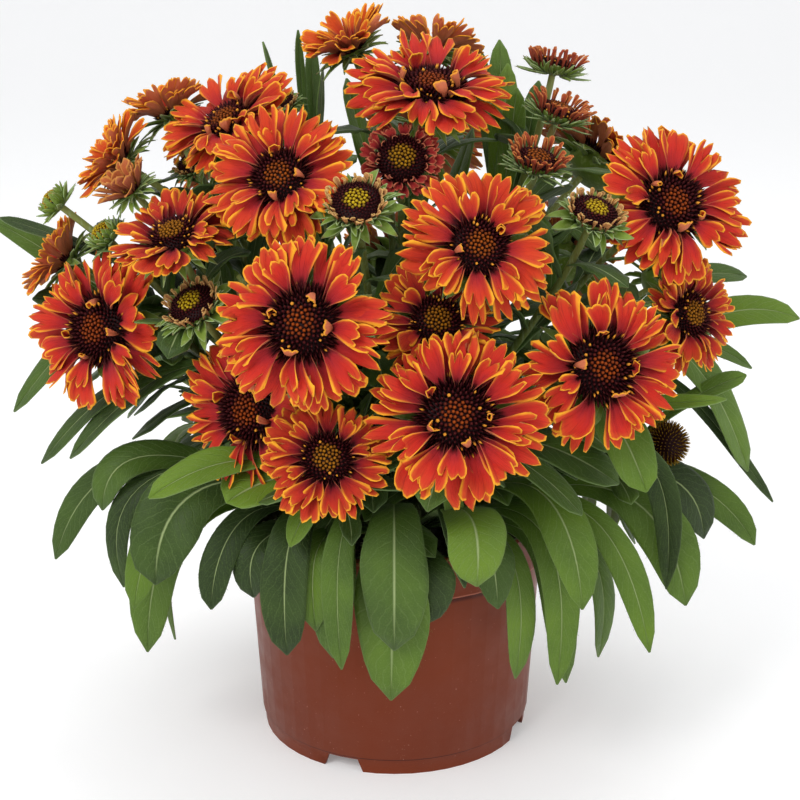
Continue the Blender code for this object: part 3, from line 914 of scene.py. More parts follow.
# Dome radius and height as shares of the head's radius, cap angle of the dome in radians, number
# of florets, share of them in the heart (below zero where all are ripe), length of a knob and of
# a spike, how golden the heart is
DISCS = {
    "bloom": (0.42, 0.17, 1.45, 390, 0.08, 0.045, 0.13, 0.03),
    "fresh_bloom": (0.39, 0.18, 1.45, 350, 0.1, 0.045, 0.11, 0.08),
    "young_bloom": (0.39, 0.2, 1.4, 270, 0.14, 0.055, 0.11, 0.28),
    "dusky_bloom": (0.7, 0.34, 1.4, 270, 0.13, 0.08, 0.12, 0.46),
    "folded_bloom": (0.34, 0.2, 1.45, 130, 0.25, 0.06, 0.14, 0.2),
    "closing_bloom": (0.36, 0.24, 1.4, 100, 0.5, 0.07, 0.14, 0.5),
    "half_bud": (0.76, 0.26, 1.45, 240, 0.12, 0.07, 0.08, 1.0),
    "red_bud": (0.66, 0.24, 1.4, 150, 0.2, 0.06, 0.09, 0.1),
    "green_bud": (0.62, 0.55, 1.4, 90, 1.0, 0.1, 0.12, 1.0),
    "seed_head": (0.95, 0.9, 2.3, 360, -1.0, 0.2, 0.27, 0.7),
}


def turned(seat, profile, steps, **numbers):
    """A turned form on a head's axis, from (radius, height) pairs that run from the top down its
    outer side; a pole closes each end."""
    middle, axis, radius = seat
    first, second = basis(axis)
    profile = np.asarray(profile) * radius
    turn = np.linspace(0, math.tau, steps, endpoint=False)
    outward = ways_round(first, second, turn)
    ring = middle + outward * profile[:, None, :1] + axis * profile[:, None, 1:]
    poles = middle + axis * profile[(0, -1), 1:]
    places = np.concatenate([ring.reshape(-1, 3), poles])
    count = len(profile) * steps
    values = {key: np.full(len(places), number) for key, number in numbers.items()}
    caps = fans(steps, 0, count - steps, count, count + 1)
    return places, ring_quads(len(profile), steps), caps, values


def florets(seat, disc, draw):
    """Florets at the golden angle on a cap of a spheroid: the i-th one's polar angle has a cosine
    that falls evenly with i, so that each has the same room. A floret is a small five-sided form
    that stands square to the dome and leans out a little."""
    middle, axis, radius = seat
    wide, high, cap, count, heart_share, knob, spike, gold = disc
    first, second = basis(axis)
    order = (np.arange(count) + 0.5) / count
    polar = np.arccos(1 - (1 - math.cos(cap)) * order)
    turn = np.arange(count) * GOLDEN_ANGLE
    outward = ways_round(first, second, turn)
    root = middle + radius * (
        outward * wide * np.sin(polar)[:, None] + axis * high * np.cos(polar)[:, None]
    )
    lean = polar * FLORET_LEAN
    way = axis * np.cos(lean)[:, None] + outward * np.sin(lean)[:, None]
    way = unit(way + draw.normal(0, 0.09, (count, 3)) * np.clip(order * 2, 0, 1)[:, None])
    heart = np.clip((heart_share - order) * 14 + 0.6 + draw.normal(0, 0.15, count), 0, 1)
    heart = np.maximum(heart, 0.85 * (heart_share < 0))
    grown = np.clip((order - heart_share) * 4, 0, 1)
    tall = radius * (knob + (spike - knob) * grown * draw.uniform(0.55, 1.15, count))
    room = radius * wide * math.sqrt(math.pi / count) * FLORET_FILL
    thick = room * (1 - 0.3 * grown)
    side = unit(np.cross(way, axis + 0.31))
    over = np.cross(way, side)
    around = np.arange(FLORET_SIDES) / FLORET_SIDES * math.tau
    circle = ways_round(side[:, None], over[:, None], around)
    dusted = (draw.uniform(0, 1, count) < POLLEN_SHARE) * (grown > 0.3) * (gold < 0.45)
    shape = KNOB + (SPIKE - KNOB) * grown[:, None] + dusted[:, None] * FLORET_STATIONS * 0.35
    skin = (
        root[:, None, None]
        + way[:, None, None] * (tall[:, None] * FLORET_STATIONS)[..., None, None]
        + circle[:, None] * (thick[:, None] * shape)[..., None, None]
    )
    top = root + way * tall[:, None]
    foot = root - way * thick[:, None]
    each = len(FLORET_STATIONS) * FLORET_SIDES + 2
    places = np.concatenate([skin.reshape(count, -1, 3), top[:, None], foot[:, None]], axis=1)
    shift = (np.arange(count) * each)[:, None, None]
    rings = ring_quads(len(FLORET_STATIONS), FLORET_SIDES)[:, ::-1] + shift
    last = each - 2 - FLORET_SIDES
    ends = fans(FLORET_SIDES, last, 0, each - 2, each - 1) + shift
    along = np.append(np.repeat(FLORET_STATIONS, FLORET_SIDES), (1.0, 0.0))
    values = {
        "along": np.tile(along, count),
        "heart": np.repeat(heart, each),
        "pollen": np.repeat(dusted.astype(float), each),
        "own": np.repeat(draw.uniform(0, 1, count), each),
        "gold": np.full(count * each, gold),
    }
    return places.reshape(-1, 3), rings, ends, values


def disc_finish():
    """Dark maroon at the foot of every floret; the knobs of the heart are orange brown to gold
    at the top, the spikes maroon with paler ends, and pollen is bright yellow."""
    look = Nodes("disc_florets", 0.6)
    along, own = look.carried("along"), look.carried("own")
    heart, pollen, gold = look.carried("heart"), look.carried("pollen"), look.carried("gold")
    grain = look.noise(look.place(), 1400, 2)
    spike = look.ramp(along, *SPIKE_MAROONS)
    brown = look.ramp(along, *KNOB_BROWNS)
    bright = look.ramp(along, *KNOB_GOLDS)
    knob = look.mix(gold, brown, bright)
    colour = look.mix(heart, spike, knob)
    colour = look.tint(colour, own, 0.4, DARK_FLORET)
    dust = look.times(pollen, look.between(along, 0.35, 0.7))
    colour = look.mix(dust, colour, POLLEN)
    look.colour(colour)
    look.rough(look.between(grain, -0.4, 1.4))
    look.shine(0.1)
    look.bump(grain, 0.0002, 0.5)
    return look.material


def dome(disc):
    """Half an ellipse from the top of the dome to its rim, then a short step down."""
    wide, high, cap = disc[:3]
    polar = np.linspace(0.12, cap, 9)
    profile = [(wide * math.sin(angle) * 0.98, high * math.cos(angle) * 0.98) for angle in polar]
    return profile + [(wide * math.sin(cap) * 0.6, high * math.cos(cap) - 0.08)]


disc_look = disc_finish()
for number, (node, kind, back, middle, axis, radius) in enumerate(heads):
    draw = np.random.default_rng(300 + number)
    seat, disc = (middle, axis, radius), DISCS[kind]
    ground = turned(seat, dome(disc), 24, along=0.1, heart=0.0, pollen=0.0, own=0.5, gold=0.0)
    parts = [ground, florets(seat, disc, draw)]
    face = mesh_piece(f"{node}_disc", *joined(parts), material=disc_look)
    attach(face, "root")
    if kind in ("green_bud", "seed_head"):
        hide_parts(node)


# The green behind each head: a shallow cup on the end of the stem, with two to four rows of
# narrow, pointed, hairy bracts. On an open head they lie under the rays; on a bud they stand
# round it and spread past it like a ruff.

BRACT_ACROSS = np.array([-1, -0.5, 0, 0.5, 1])
BRACT_ALONG = np.array([0, 0.22, 0.45, 0.68, 0.86, 1])
HIDDEN_BRACT_ACROSS = np.array([-1, 0, 1])
HIDDEN_BRACT_ALONG = np.array([0, 0.3, 0.65, 1])
BRACT_THICKNESS = 0.0004
BRACT_GREENS = ((0.0, (0.09, 0.14, 0.012)), (0.5, (0.15, 0.23, 0.022)), (0.9, (0.2, 0.28, 0.04)))
BRACT_MOTTLE = (0.3, 0.37, 0.11)
BRACT_SHADE = (0.08, 0.14, 0.016)
BRACT_EDGE = (0.3, 0.4, 0.17)
BRACT_TIP = (0.22, 0.05, 0.03)
# Rows as for the rays: count, start, rise, length, width, lift, level, roll, flat, no cut
RUFFS = {
    "open": [
        (14, 0.3, -0.08, 0.42, 0.15, 12, -22, 0.8, 0.5, 0),
        (14, 0.3, -0.12, 0.5, 0.14, -2, -38, 0.8, 0.5, 0),
    ],
    "folded": [
        (13, 0.3, -0.1, 0.62, 0.2, 26, -4, 0.9, 0.6, 0),
        (13, 0.28, -0.16, 0.7, 0.2, 6, -34, 0.9, 0.6, 0),
    ],
    "half_bud": [
        (19, 0.74, -0.2, 0.42, 0.19, 66, 30, 1.2, 0.8, 0),
        (15, 0.66, -0.28, 0.62, 0.22, 40, 8, 1.0, 0.7, 0),
        (9, 0.42, -0.34, 1.06, 0.42, 14, -10, 0.8, 0.5, 0),
        (6, 0.3, -0.38, 0.98, 0.4, -8, -40, 0.8, 0.5, 0),
    ],
    "red_bud": [
        (19, 0.64, -0.22, 0.5, 0.13, 50, 24, 1.2, 0.9, 0),
        (17, 0.54, -0.3, 0.7, 0.15, 26, 30, 1.0, 0.8, 0),
        (13, 0.4, -0.34, 0.86, 0.16, 2, 14, 1.0, 0.8, 0),
    ],
    "green_bud": [
        (15, 0.72, -0.05, 0.62, 0.3, 88, 128, 1.4, 1.0, 0),
        (15, 0.74, -0.2, 0.7, 0.3, 70, 84, 1.2, 0.9, 0),
        (14, 0.62, -0.36, 0.85, 0.3, 42, 52, 1.0, 0.7, 0),
        (9, 0.4, -0.44, 1.0, 0.34, 10, 14, 1.0, 0.7, 0),
    ],
    "seed_head": [
        (13, 0.42, -0.4, 0.8, 0.24, -24, -70, 0.9, 0.6, 0),
        (11, 0.36, -0.5, 0.8, 0.24, -40, -84, 0.9, 0.6, 0),
    ],
}
RUFF_OF = {
    "folded_bloom": "folded",
    "closing_bloom": "folded",
    "half_bud": "half_bud",
    "red_bud": "red_bud",
    "green_bud": "green_bud",
    "seed_head": "seed_head",
}


def bract_green():
    """Fresh green, darker towards the foot, with a reddish tip, paler edge and a downy surface."""
    look = Nodes("bract_green", 0.6)
    where = look.place()
    along, edge, own = look.carried("along"), look.carried("edge"), look.carried("own")
    mottle = look.noise(where, 420, 3)
    base = look.ramp(along, *BRACT_GREENS)
    base = look.mix(look.between(mottle, 0.5, 0.8), base, BRACT_MOTTLE)
    base = look.tint(base, own, 0.4, BRACT_SHADE)
    base = look.mix(look.between(edge, 0.18, 0.0), base, BRACT_EDGE)
    tip = look.times(look.between(along, 0.85, 1.0), look.between(own, 0.4, 0.8))
    base = look.tint(base, tip, 0.6, BRACT_TIP)
    look.colour(base)
    look.rough(look.between(mottle, -0.7, 1.3))
    look.shine(0.2, 0.08)
    look.bump(mottle, 0.0004, 0.6)
    return look.material


def cup(back, disc, kind):
    """From the rim of the disc in a rounded cup to the stem, which goes into its foot."""
    wide = disc[0] * (0.96 if kind != "green_bud" else 1.2)
    turn = np.linspace(0.15, 1.45, 7)
    profile = [(wide, 0.02)]
    profile += [(wide * math.cos(angle) ** 0.7, -back * 0.9 * math.sin(angle)) for angle in turn]
    return profile


bract_look = bract_green()
for number, (node, kind, back, middle, axis, radius) in enumerate(heads):
    draw = np.random.default_rng(500 + number)
    seat = (middle, axis, radius)
    numbers = {"along": 0.25, "edge": 1.0, "own": 0.4, "across": 0.0, "under": 0.0}
    parts = [turned(seat, cup(back, DISCS[kind], kind), 20, **numbers)]
    shown = RUFF_OF.get(kind, "open")
    grid = (BRACT_ACROSS, BRACT_ALONG, BRACT_THICKNESS)
    if shown == "open":
        grid = (HIDDEN_BRACT_ACROSS, HIDDEN_BRACT_ALONG, BRACT_THICKNESS)
    for row in RUFFS[shown]:
        parts.append(whorl(seat, row, draw, grid, outline="bract"))
    down = 240 if kind in ("half_bud", "red_bud", "green_bud") else 70
    skin = parts[-1][0]
    pick = draw.integers(0, len(skin), down)
    out = unit(skin[pick] - middle) + draw.normal(0, 0.5, (down, 3)) - axis * 0.3
    hair = draw.uniform(*BRACT_HAIR, down)
    plain = {"along": 0.8, "edge": 0.0, "own": 0.2, "across": 0.0, "under": 0.0}
    parts.append(spikes(skin[pick], out, hair, **plain))
    ruff = mesh_piece(f"{node}_bracts", *joined(parts), material=bract_look)
    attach(ruff, "root")


# The leaves: soft, hairy blades, narrow at the stalk and widest well past the middle, with a
# sunken pale midrib. The long ones start at the crown, arch over the rim and hang down the pot.

LEAF_ACROSS = np.array([-1, -0.86, -0.62, -0.38, -0.18, -0.06, 0, 0.06, 0.18, 0.38, 0.62, 0.86, 1])
LEAF_STATIONS = 24
LEAF_THICKNESS = 0.0007
LEAF_STALK = 3.6
LEAF_FOLD = 0.2
# Radius and height in millimetres where the long leaves start
LEAF_START = (19.7, 104)
# Shares of a leaf's length: how far it strays. Shares of its half width: how far its margins wave,
# its sides droop, its midrib sinks and its blade puckers. Share of its width: the margins' ripple
LEAF_STRAY = 0.012
LEAF_WAVE = 0.16
LEAF_DROOP = 0.16
MIDRIB_SINK = 0.035
LEAF_PUCKER = 0.02
LEAF_RIPPLE = 0.04
# From the palest to the darkest leaf
LEAF_GREENS = (
    (0.0, (0.13, 0.22, 0.012)),
    (0.3, (0.092, 0.165, 0.014)),
    (0.6, (0.05, 0.096, 0.01)),
    (1.0, (0.018, 0.036, 0.005)),
)
STALK_GREEN = (0.1, 0.24, 0.015)
VEIN_GREENS = ((0.2, 0.3, 0.075), (0.085, 0.14, 0.036))
MIDRIB_GREEN = (0.34, 0.42, 0.18)
LEAF_BACK = (0.15, 0.22, 0.075)

# The leaves that have a node: azimuth in degrees from the front, width, radius and height of the
# top of the arch, radius and height of the tip in millimetres, roll in degrees, depth of green
NODE_LEAVES = {
    "leaf_front": (0, 30, 94, 142, 98, 80, 0, 0.6),
    "leaf_front_left": (-13, 15, 92, 138, 103, 72, 0, 0.5),
    "leaf_front_dark": (-28, 22, 92, 132, 102, 74, -15, 0.9),
    "leaf_front_right": (17, 28, 104, 146, 120, 118, 0, 0.1),
    "leaf_right_down": (40, 17, 98, 130, 114, 58, 35, 0.35),
    "leaf_right_long": (54, 16, 104, 132, 142, 72, 45, 0.3),
    "leaf_right_wide": (68, 26, 108, 134, 146, 82, 55, 0.4),
    "leaf_right_tip": (81, 17, 120, 136, 174, 101, 60, 0.35),
    "leaf_right_far": (94, 17, 120, 186, 196, 202, 60, 0.2),
    "leaf_left_dark": (-42, 16, 96, 134, 121, 96, -30, 1.0),
    "leaf_left_long": (-58, 18, 104, 136, 139, 89, -50, 0.3),
    "leaf_left_tip": (-82, 18, 118, 140, 165, 92, -50, 0.7),
    "leaf_left_far": (-95, 13, 120, 196, 194, 250, -60, 0.5),
    "leaf_back_left": (-140, 24, 100, 134, 142, 88, 20, 0.4),
    "leaf_back": (-174, 26, 98, 136, 124, 74, 0, 0.5),
    "leaf_back_right": (146, 24, 100, 134, 142, 92, -20, 0.3),
    "leaf_back_side": (118, 20, 104, 130, 150, 84, -20, 0.5),
}
# More long leaves between them, in the same terms
MORE_LEAVES = {
    "leaf_left_grey": (-66, 20, 110, 152, 145, 131, -40, 0.6),
    "leaf_left_broad": (-51, 32, 102, 146, 136, 106, -40, 0.85),
    "leaf_left_curl": (-63, 13, 112, 148, 139, 95, -40, 0.9),
    "leaf_left_down": (-65, 24, 102, 124, 128, 58, -45, 0.4),
    "leaf_left_narrow": (-70, 7, 94, 124, 112, 57, -20, 0.3),
    "leaf_left_under": (-36, 18, 90, 126, 106, 100, -20, 0.95),
    "leaf_front_side": (-21, 17, 88, 126, 97, 86, -8, 0.35),
    "leaf_front_inner": (-17, 22, 87, 122, 93, 72, -5, 0.45),
    "leaf_front_behind": (-1, 34, 84, 122, 87, 50, 5, 0.3),
    "leaf_front_under": (8, 26, 84, 118, 90, 88, 0, 0.9),
    "leaf_front_gap": (26, 20, 88, 128, 104, 98, 10, 0.8),
    "leaf_right_under": (39, 22, 98, 148, 130, 101, 20, 0.3),
    "leaf_right_pale": (34, 15, 88, 120, 98, 58, 10, 0.2),
    "leaf_right_grey": (46, 18, 92, 116, 109, 53, 30, 0.4),
    "leaf_right_olive": (58, 16, 96, 116, 112, 58, 20, 0.5),
    "leaf_right_folded": (64, 15, 112, 160, 139, 93, 82, 0.95),
    "leaf_right_behind": (76, 24, 112, 140, 150, 108, 40, 0.9),
}
# Leaves higher up, each on the stem nearest its start: width, azimuth, radius and height of the
# start and of the tip, how far it bows up as a share of its length, roll, depth of green
STEM_LEAVES = {
    "leaf_left_thin": (8, -85, 105, 222, -90, 184, 254, 0.05, -40, 0.9),
    "leaf_left_short": (13, -75, 110, 200, -83, 168, 220, 0.15, -40, 0.9),
    "leaf_left_low": (15, -70, 100, 205, -80, 179, 169, 0.25, -40, 0.6),
    "leaf_left_pair": (12, -62, 95, 180, -76, 168, 147, 0.2, -40, 0.8),
    "leaf_left_twin": (13, -58, 95, 185, -71, 156, 153, 0.2, -40, 0.7),
    "leaf_left_bright": (16, -36, 84, 146, -43, 151, 156, 0.15, -35, 0.1),
    "leaf_front_sage": (27, -5, 85, 158, -34, 127, 152, 0.12, -20, 0.15),
    "leaf_front_small": (13, -14, 80, 150, -24, 110, 130, 0.2, -10, 0.05),
    "leaf_front_bract": (10, 6, 82, 156, 16, 104, 117, 0.2, 10, 0.3),
    "leaf_front_hook": (8, 10, 84, 128, 28, 103, 100, -0.15, 10, 0.5),
    "leaf_right_shelf": (15, 15, 85, 155, 36, 135, 148, 0.15, 20, 0.7),
    "leaf_right_inner": (24, 30, 70, 165, 50, 128, 152, 0.15, 30, 0.55),
    "leaf_right_midrib": (21, 38, 100, 190, 47, 147, 155, 0.2, 30, 0.3),
    "leaf_right_slant": (9, 42, 95, 145, 61, 164, 190, 0.0, 40, 0.15),
    "leaf_right_top": (12, 75, 100, 175, 90, 171, 181, 0.15, 40, 0.4),
    "leaf_right_upper": (11, 70, 100, 165, 80, 165, 186, 0.1, 40, 0.3),
    "leaf_right_hanging": (21, 68, 105, 190, 83, 169, 136, 0.3, 40, 0.35),
    "leaf_right_thin": (8, 68, 100, 175, 84, 182, 120, 0.2, 70, 0.9),
    "leaf_far_right": (12, 90, 110, 190, 100, 175, 219, 0.15, 40, 0.5),
    "leaf_top_thin": (7, -105, 50, 262, -116, 69, 332, -0.05, 0, 0.5),
    "leaf_top_narrow": (6, -110, 30, 262, -128, 58, 337, -0.05, 0, 0.8),
    "leaf_top_left": (9, -120, 40, 255, -141, 64, 332, -0.05, 0, 0.6),
    "leaf_top_middle": (11, -100, 25, 250, -121, 39, 321, -0.05, 0, 0.4),
    "leaf_top_inner": (14, -110, 20, 245, -143, 38, 315, -0.05, 0, 0.3),
    "leaf_top_right": (9, 120, 35, 255, 141, 64, 328, -0.05, 0, 0.6),
    "leaf_top_broad": (13, 110, 35, 255, 129, 64, 332, -0.05, 0, 0.3),
    "leaf_top_bright": (15, 100, 35, 245, 119, 61, 322, -0.05, 0, 0.2),
    "leaf_top_low": (15, 90, 40, 240, 108, 60, 312, -0.05, 0, 0.3),
    "leaf_top_outer": (13, 95, 45, 245, 113, 74, 314, -0.05, 0, 0.5),
    "leaf_top_front": (17, 70, 25, 230, 85, 36, 296, -0.05, 0, 0.1),
    "leaf_upper_dark": (19, -95, 55, 225, -90, 104, 268, 0.05, -30, 0.8),
    "leaf_upper_shade": (20, -75, 60, 215, -74, 108, 256, 0.05, -20, 0.9),
    "leaf_upper_inner": (18, -115, 50, 240, -104, 84, 294, 0.05, -30, 0.7),
    "leaf_upper_broad": (19, -60, 50, 225, -70, 78, 283, 0.05, -20, 0.8),
    "leaf_upper_right": (19, 70, 55, 225, 62, 92, 262, 0.05, 20, 0.8),
}


def blade(start, pull, tip, width, roll, draw, deep, stations=LEAF_STATIONS, across=LEAF_ACROSS):
    """A leaf: a quadratic curve from start to tip, drawn towards pull. Its half width swells as a
    sine of a power of the way along, its face rolls with the way along, its sides fold up from the
    sunken midrib, and its margins wave a little."""
    share = np.linspace(0, 1, stations)[:, None]
    path = start * (1 - share) ** 2 + pull * 2 * share * (1 - share) + tip * share**2
    length = np.linalg.norm(np.diff(path, axis=0), axis=1).sum()
    stray = draw.normal(0, LEAF_STRAY, 3) * length
    path = path + stray * np.sin(share * math.pi * 2) * share
    along = unit(np.gradient(path, axis=0))
    way = tip - start
    level = np.array((-way[1], way[0], 0)) / (math.hypot(way[0], way[1]) + 1e-9)
    level = unit(level - along * (along @ level)[:, None])
    face = np.cross(along, level)
    turn = math.radians(roll) * np.minimum(1, 2 * share) + draw.normal(0, 0.12) * share**2
    side = level * np.cos(turn) + face * np.sin(turn)
    face = np.cross(along, side)
    swell = np.sin(math.pi * share**draw.uniform(2.3, 3.1)) ** draw.uniform(0.44, 0.58)
    stalk = LEAF_STALK * MM / 2 * (1 - share) * min(1, width / 12)
    half = np.maximum(stalk + swell * (width * MM - LEAF_STALK * MM * 0.5) / 2, 0.0004)
    u = across[None, :]
    wave = np.sin(share * draw.uniform(9, 15) + draw.uniform(0, 6) + (u > 0) * draw.uniform(1, 3))
    wave = wave * np.abs(u) ** 2 * half * LEAF_WAVE * np.sin(share * math.pi)
    fold = LEAF_FOLD + draw.normal(0, 0.07)
    sunk = MIDRIB_SINK * np.exp(-((u / 0.1) ** 2))
    lift = half * (fold * np.abs(u) - LEAF_DROOP * u**2 - sunk) + wave
    pucker = np.sin(share * 70 - np.abs(u) * 8) * np.sin(np.abs(u) * math.pi)
    pucker = half * LEAF_PUCKER * pucker
    ripple = np.sin(share * draw.uniform(12, 20) + draw.uniform(0, 6) + u * 2)
    spread = half * u * (1 + LEAF_RIPPLE * ripple)
    height = (lift + pucker)[..., None]
    points = path[:, None] + side[:, None] * spread[..., None] + face[:, None] * height
    edge = np.minimum(half * (1 - np.abs(u)), length * (1 - share)) * 1000
    values = {"along": share, "across": u, "edge": edge, "own": deep + draw.normal(0, 0.05)}
    values["size"] = length * 1000
    values = {key: np.asarray(numbers)[None] for key, numbers in values.items()}
    sheet = closed_sheets(points[None], LEAF_THICKNESS, values)
    return sheet, points


def margin_hairs(points, count, draw):
    """Fine hairs that stand out from both margins of a leaf and lean towards its tip."""
    row = draw.integers(1, len(points) - 2, count)
    slide = draw.uniform(0, 1, (count, 1))
    end = np.where(draw.uniform(0, 1, count) < 0.5, 0, -1)
    root = points[row, end] * (1 - slide) + points[row + 1, end] * slide
    out = points[row, end] - points[row, len(points[0]) // 2]
    onward = unit(points[row + 1, end] - points[row, end])
    way = unit(out) + onward * 0.6 + draw.normal(0, 0.25, (count, 3))
    plain = {"along": 0.5, "across": 0.5, "edge": 0.0, "own": 0.1, "size": 50.0, "under": 0.5}
    return spikes(root, way, draw.uniform(*LEAF_HAIR, count), **plain)


def leaf_green():
    """Sage to deep green by leaf, clouded, with a pale midrib, side veins that run forward to the
    margin, a fine down all over and a paler, greyer back."""
    look = Nodes("leaf_green", 0.55)
    where = look.place()
    along, across, edge = look.carried("along"), look.carried("across"), look.carried("edge")
    own, under, size = look.carried("own"), look.carried("under"), look.carried("size")
    cloud = look.noise(where, 38, 3)
    depth = look.plus(own, look.swing(cloud, 0.7))
    base = look.ramp(depth, *LEAF_GREENS)
    root = look.between(along, 0.45, 0.1)
    base = look.tint(base, root, 0.4, STALK_GREEN)
    side = look.maths("ABSOLUTE", across)
    run = look.times(along, look.times(size, 0.16))
    wander = look.noise(where, 120, 2)
    swing = look.maths("SUBTRACT", run, look.times(side, 3.2))
    swing = look.plus(swing, look.times(wander, 1.6))
    vein = look.between(look.maths("COSINE", look.times(swing, 5.5)), 0.86, 1.0)
    rib = look.between(side, 0.065, 0.015)
    pale = look.mix(own, *VEIN_GREENS)
    base = look.tint(base, vein, 0.28, pale)
    down = look.noise(where, 1500, 2, 0.6)
    base = look.tint(base, look.between(down, 0.5, 0.72), 0.4, pale)
    base = look.tint(base, look.between(edge, 0.5, 0.05), 0.45, pale)
    back = look.mix(0.65, base, LEAF_BACK)
    base = look.mix(under, base, back)
    strength = look.times(rib, look.between(along, 1.02, 0.85))
    base = look.tint(base, strength, 0.85, MIDRIB_GREEN)
    look.colour(base)
    look.rough(look.between(down, -0.4, 1.4))
    look.shine(0.24, 0.05)
    height = look.plus(look.times(vein, -0.35), look.times(down, 0.5))
    height = look.plus(height, look.times(rib, -0.8))
    look.bump(look.plus(height, look.times(wander, 0.6)), 0.0005, 0.7)
    return look.material


def long_leaf(azimuth, width, arch_radius, arch_height, tip_radius, tip_height, roll, deep, draw):
    """A leaf from the crown, whose curve passes through the top of its arch half way."""
    start = point_at(azimuth, *LEAF_START)
    tip = point_at(azimuth, tip_radius, tip_height)
    pull = point_at(azimuth, arch_radius, arch_height) * 2 - (start + tip) / 2
    sheet, points = blade(start, pull, tip, width, roll, draw, deep)
    return [sheet, margin_hairs(points, 90, draw)]


leaf_look = leaf_green()
for number, (name, facts) in enumerate({**NODE_LEAVES, **MORE_LEAVES}.items()):
    draw = np.random.default_rng(700 + number)
    leaf = mesh_piece(name + "_blade", *joined(long_leaf(*facts, draw)), material=leaf_look)
    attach(leaf, "root")
    if name in NODE_LEAVES:
        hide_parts(name)


# Long leaves of the back and the sides, in the same shape, round the rest of the pot.

SKIRT_LEAVES = 22
# The azimuth in degrees where they start, and how far round they go
SKIRT_FROM = 88
SKIRT_SPAN = 184
skirt = np.random.default_rng(31)
for number in range(SKIRT_LEAVES):
    azimuth = SKIRT_FROM + SKIRT_SPAN * (number + skirt.uniform(0.2, 0.8)) / SKIRT_LEAVES
    reach = skirt.uniform(0, 1)
    facts = (
        azimuth,
        skirt.uniform(15, 28),
        92 + 16 * reach,
        skirt.uniform(116, 152),
        104 + 40 * reach,
        skirt.uniform(56, 112),
        skirt.uniform(-25, 25),
        skirt.uniform(0.1, 0.9),
    )
    parts = joined(long_leaf(*facts, skirt))
    leaf = mesh_piece(f"leaf_skirt_{number:02d}", *parts, material=leaf_look)
    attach(leaf, "root")


# The leaves on the stems: narrower, stalkless, pointed. Those that show one by one have a name;
# the rest fill the inside of the mound, some on each stem, turned round it by the golden angle.

STEM_LEAF_ACROSS = np.array([-1, -0.5, 0, 0.5, 1])
STEM_LEAF_STATIONS = 10
NAMED_STATIONS = 22
LEAVES_A_STEM = 11
# The lowest station of a stem that has a leaf, the number of stations that can have one, and the
# leaves' lengths in metres, widths in millimetres and depths of green
LOWEST_LEAF = 4
LEAFY_STATIONS = 13
INNER_LENGTH = (0.045, 0.075)
INNER_WIDTH = (10, 19)
INNER_GREEN = (0.4, 1.1)
MOUND_RADII = np.array((0.152, 0.137, 0.158))
# How far in front of a head a blade would hide its disc, in metres, and how far out from its axis
# as a share of its radius
FACE_DEPTH = (0.002, 0.03)
FACE_SHARE = 0.8
routes = [stem_path(middle, axis, radius, back) for _, _, back, middle, axis, radius in heads]
stations = np.concatenate([route[3:-3] for route in routes])

for number, (name, facts) in enumerate(STEM_LEAVES.items()):
    draw = np.random.default_rng(800 + number)
    width, *ends, bow, roll, deep = facts
    wanted, tip = point_at(*ends[:3]), point_at(*ends[3:])
    start = stations[np.linalg.norm(stations - wanted, axis=1).argmin()]
    length = np.linalg.norm(tip - start)
    pull = (start + tip) / 2 + np.array((0, 0, 2 * bow * length))
    sheet, points = blade(start, pull, tip, width, roll, draw, deep, NAMED_STATIONS)
    leaf = mesh_piece(name, *joined([sheet, margin_hairs(points, 60, draw)]), material=leaf_look)
    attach(leaf, "root")

middles, axes, radii = (np.array([head[place] for head in heads]) for place in (3, 4, 5))


def hides_a_face(points):
    """Whether any point of a blade lies close in front of the disc of a head."""
    offset = points.reshape(-1, 1, 3) - middles
    front = (offset * axes).sum(axis=-1)
    out = np.linalg.norm(offset - front[..., None] * axes, axis=-1)
    near, far = FACE_DEPTH
    return bool(((front > near) & (front < far) & (out < radii * FACE_SHARE)).any())


for number, ((node, *_), route) in enumerate(zip(heads, routes)):
    draw = np.random.default_rng(900 + number)
    parts = []
    for order in range(LEAVES_A_STEM):
        place = LOWEST_LEAF + order * LEAFY_STATIONS // LEAVES_A_STEM
        start = route[place]
        rise = unit(route[place + 1] - start)
        first, second = basis(rise)
        turn = order * GOLDEN_ANGLE + number
        out = first * math.cos(turn) + second * math.sin(turn)
        length = draw.uniform(*INNER_LENGTH) * (1.15 - 0.06 * order)
        pull = start + (rise * 0.6 + out * 0.5) * length * 0.6
        reach = rise * draw.uniform(0.2, 0.7) + out * 0.8
        tip = start + (reach + (0, 0, draw.uniform(-0.3, 0.1))) * length
        far = np.linalg.norm((tip - MOUND_CENTRE) / MOUND_RADII)
        tip = MOUND_CENTRE + (tip - MOUND_CENTRE) / max(1, far)
        width = draw.uniform(*INNER_WIDTH)
        deep = draw.uniform(*INNER_GREEN)
        sheet, points = blade(
            start, pull, tip, width, 0, draw, deep, STEM_LEAF_STATIONS, STEM_LEAF_ACROSS
        )
        if not hides_a_face(points):
            parts.append(sheet)
    leaves = mesh_piece(f"{node}_stem_leaves", *joined(parts), material=leaf_look)
    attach(leaves, "root")


# The studio: a pale floor that curves up into a pale wall behind, a large soft light from the
# front on the left, a weaker one on the right, one above and an even pale surround.

FLOOR_COLOUR = (0.86, 0.86, 0.86)
# Where the floor starts in front, where its curve starts, the curve's radius, the wall's height and
# half the width, in metres
FLOOR_FRONT = -6.0
CURVE_START = 2.5
CURVE_RADIUS = 1.5
WALL_HEIGHT = 6.0
FLOOR_SIDE = 7.0
PAPER_GLOW = 0.2
WORLD_COLOUR = (0.97, 0.98, 1.0)
WORLD_STRENGTH = 0.75
# Name, place, size and power of each light, all aimed at the middle of the mound
LIGHTS = (
    ("key", (-0.9, -1.3, 1.5), 0.8, 17),
    ("fill", (1.5, -1.1, 0.8), 1.2, 5),
    ("top", (0.2, 0.3, 1.7), 1.0, 6),
)


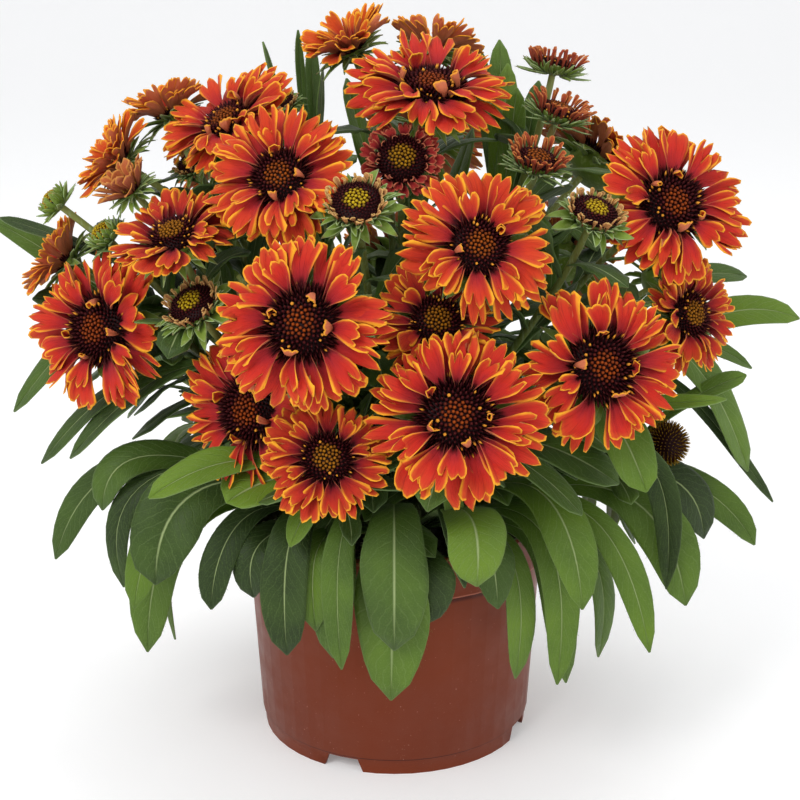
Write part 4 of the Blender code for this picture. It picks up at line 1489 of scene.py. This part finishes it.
def floor_sheet():
    """A profile carried sideways: level in front, a quarter circle, then upright."""
    turn = np.linspace(0, math.pi / 2, 24)
    curve = CURVE_START + CURVE_RADIUS * np.sin(turn)
    depth = np.concatenate([[FLOOR_FRONT], curve, [CURVE_START + CURVE_RADIUS]])
    height = np.concatenate([[0.0], CURVE_RADIUS * (1 - np.cos(turn)), [WALL_HEIGHT]])
    places = np.zeros((len(depth), 2, 3))
    places[..., 0] = (-FLOOR_SIDE, FLOOR_SIDE)
    places[..., 1] = depth[:, None]
    places[..., 2] = height[:, None]
    here = np.arange(len(depth) * 2).reshape(-1, 2)
    quads = np.stack([here[:-1, 0], here[:-1, 1], here[1:, 1], here[1:, 0]], axis=-1)
    return places.reshape(-1, 3), quads


def paper():
    """Pale seamless paper with the least trace of a fibre."""
    look = Nodes("studio_paper", 0.9)
    fibre = look.noise(look.place(), 30, 4)
    shade = tuple(part * 0.985 for part in FLOOR_COLOUR)
    look.colour(look.mix(look.between(fibre, 0.3, 0.7), FLOOR_COLOUR, shade))
    look.bump(fibre, 0.0002, 0.2)
    look.shader.inputs["Emission Color"].default_value = (1, 1, 1, 1)
    look.shader.inputs["Emission Strength"].default_value = PAPER_GLOW
    return look.material


floor = mesh_piece("studio_floor", *floor_sheet(), material=paper())
floor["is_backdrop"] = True
for name, place, size, power in LIGHTS:
    lamp = bpy.data.lights.new(name, "AREA")
    lamp.size = size
    lamp.energy = power
    light = bpy.data.objects.new(name, lamp)
    light.location = place
    aim = Vector(MOUND_CENTRE) - light.location
    light.rotation_euler = aim.to_track_quat("-Z", "Y").to_euler()
    bpy.context.scene.collection.objects.link(light)
world = bpy.data.worlds.new("surround")
world.use_nodes = True
world.node_tree.nodes["Background"].inputs["Color"].default_value = (*WORLD_COLOUR, 1)
world.node_tree.nodes["Background"].inputs["Strength"].default_value = WORLD_STRENGTH
bpy.context.scene.world = world
bpy.context.scene.view_settings.view_transform = "Standard"

boxes = {"cad": cad_box, "visual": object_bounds()}
plain = {key: [list(map(float, corner)) for corner in box] for key, box in boxes.items()}
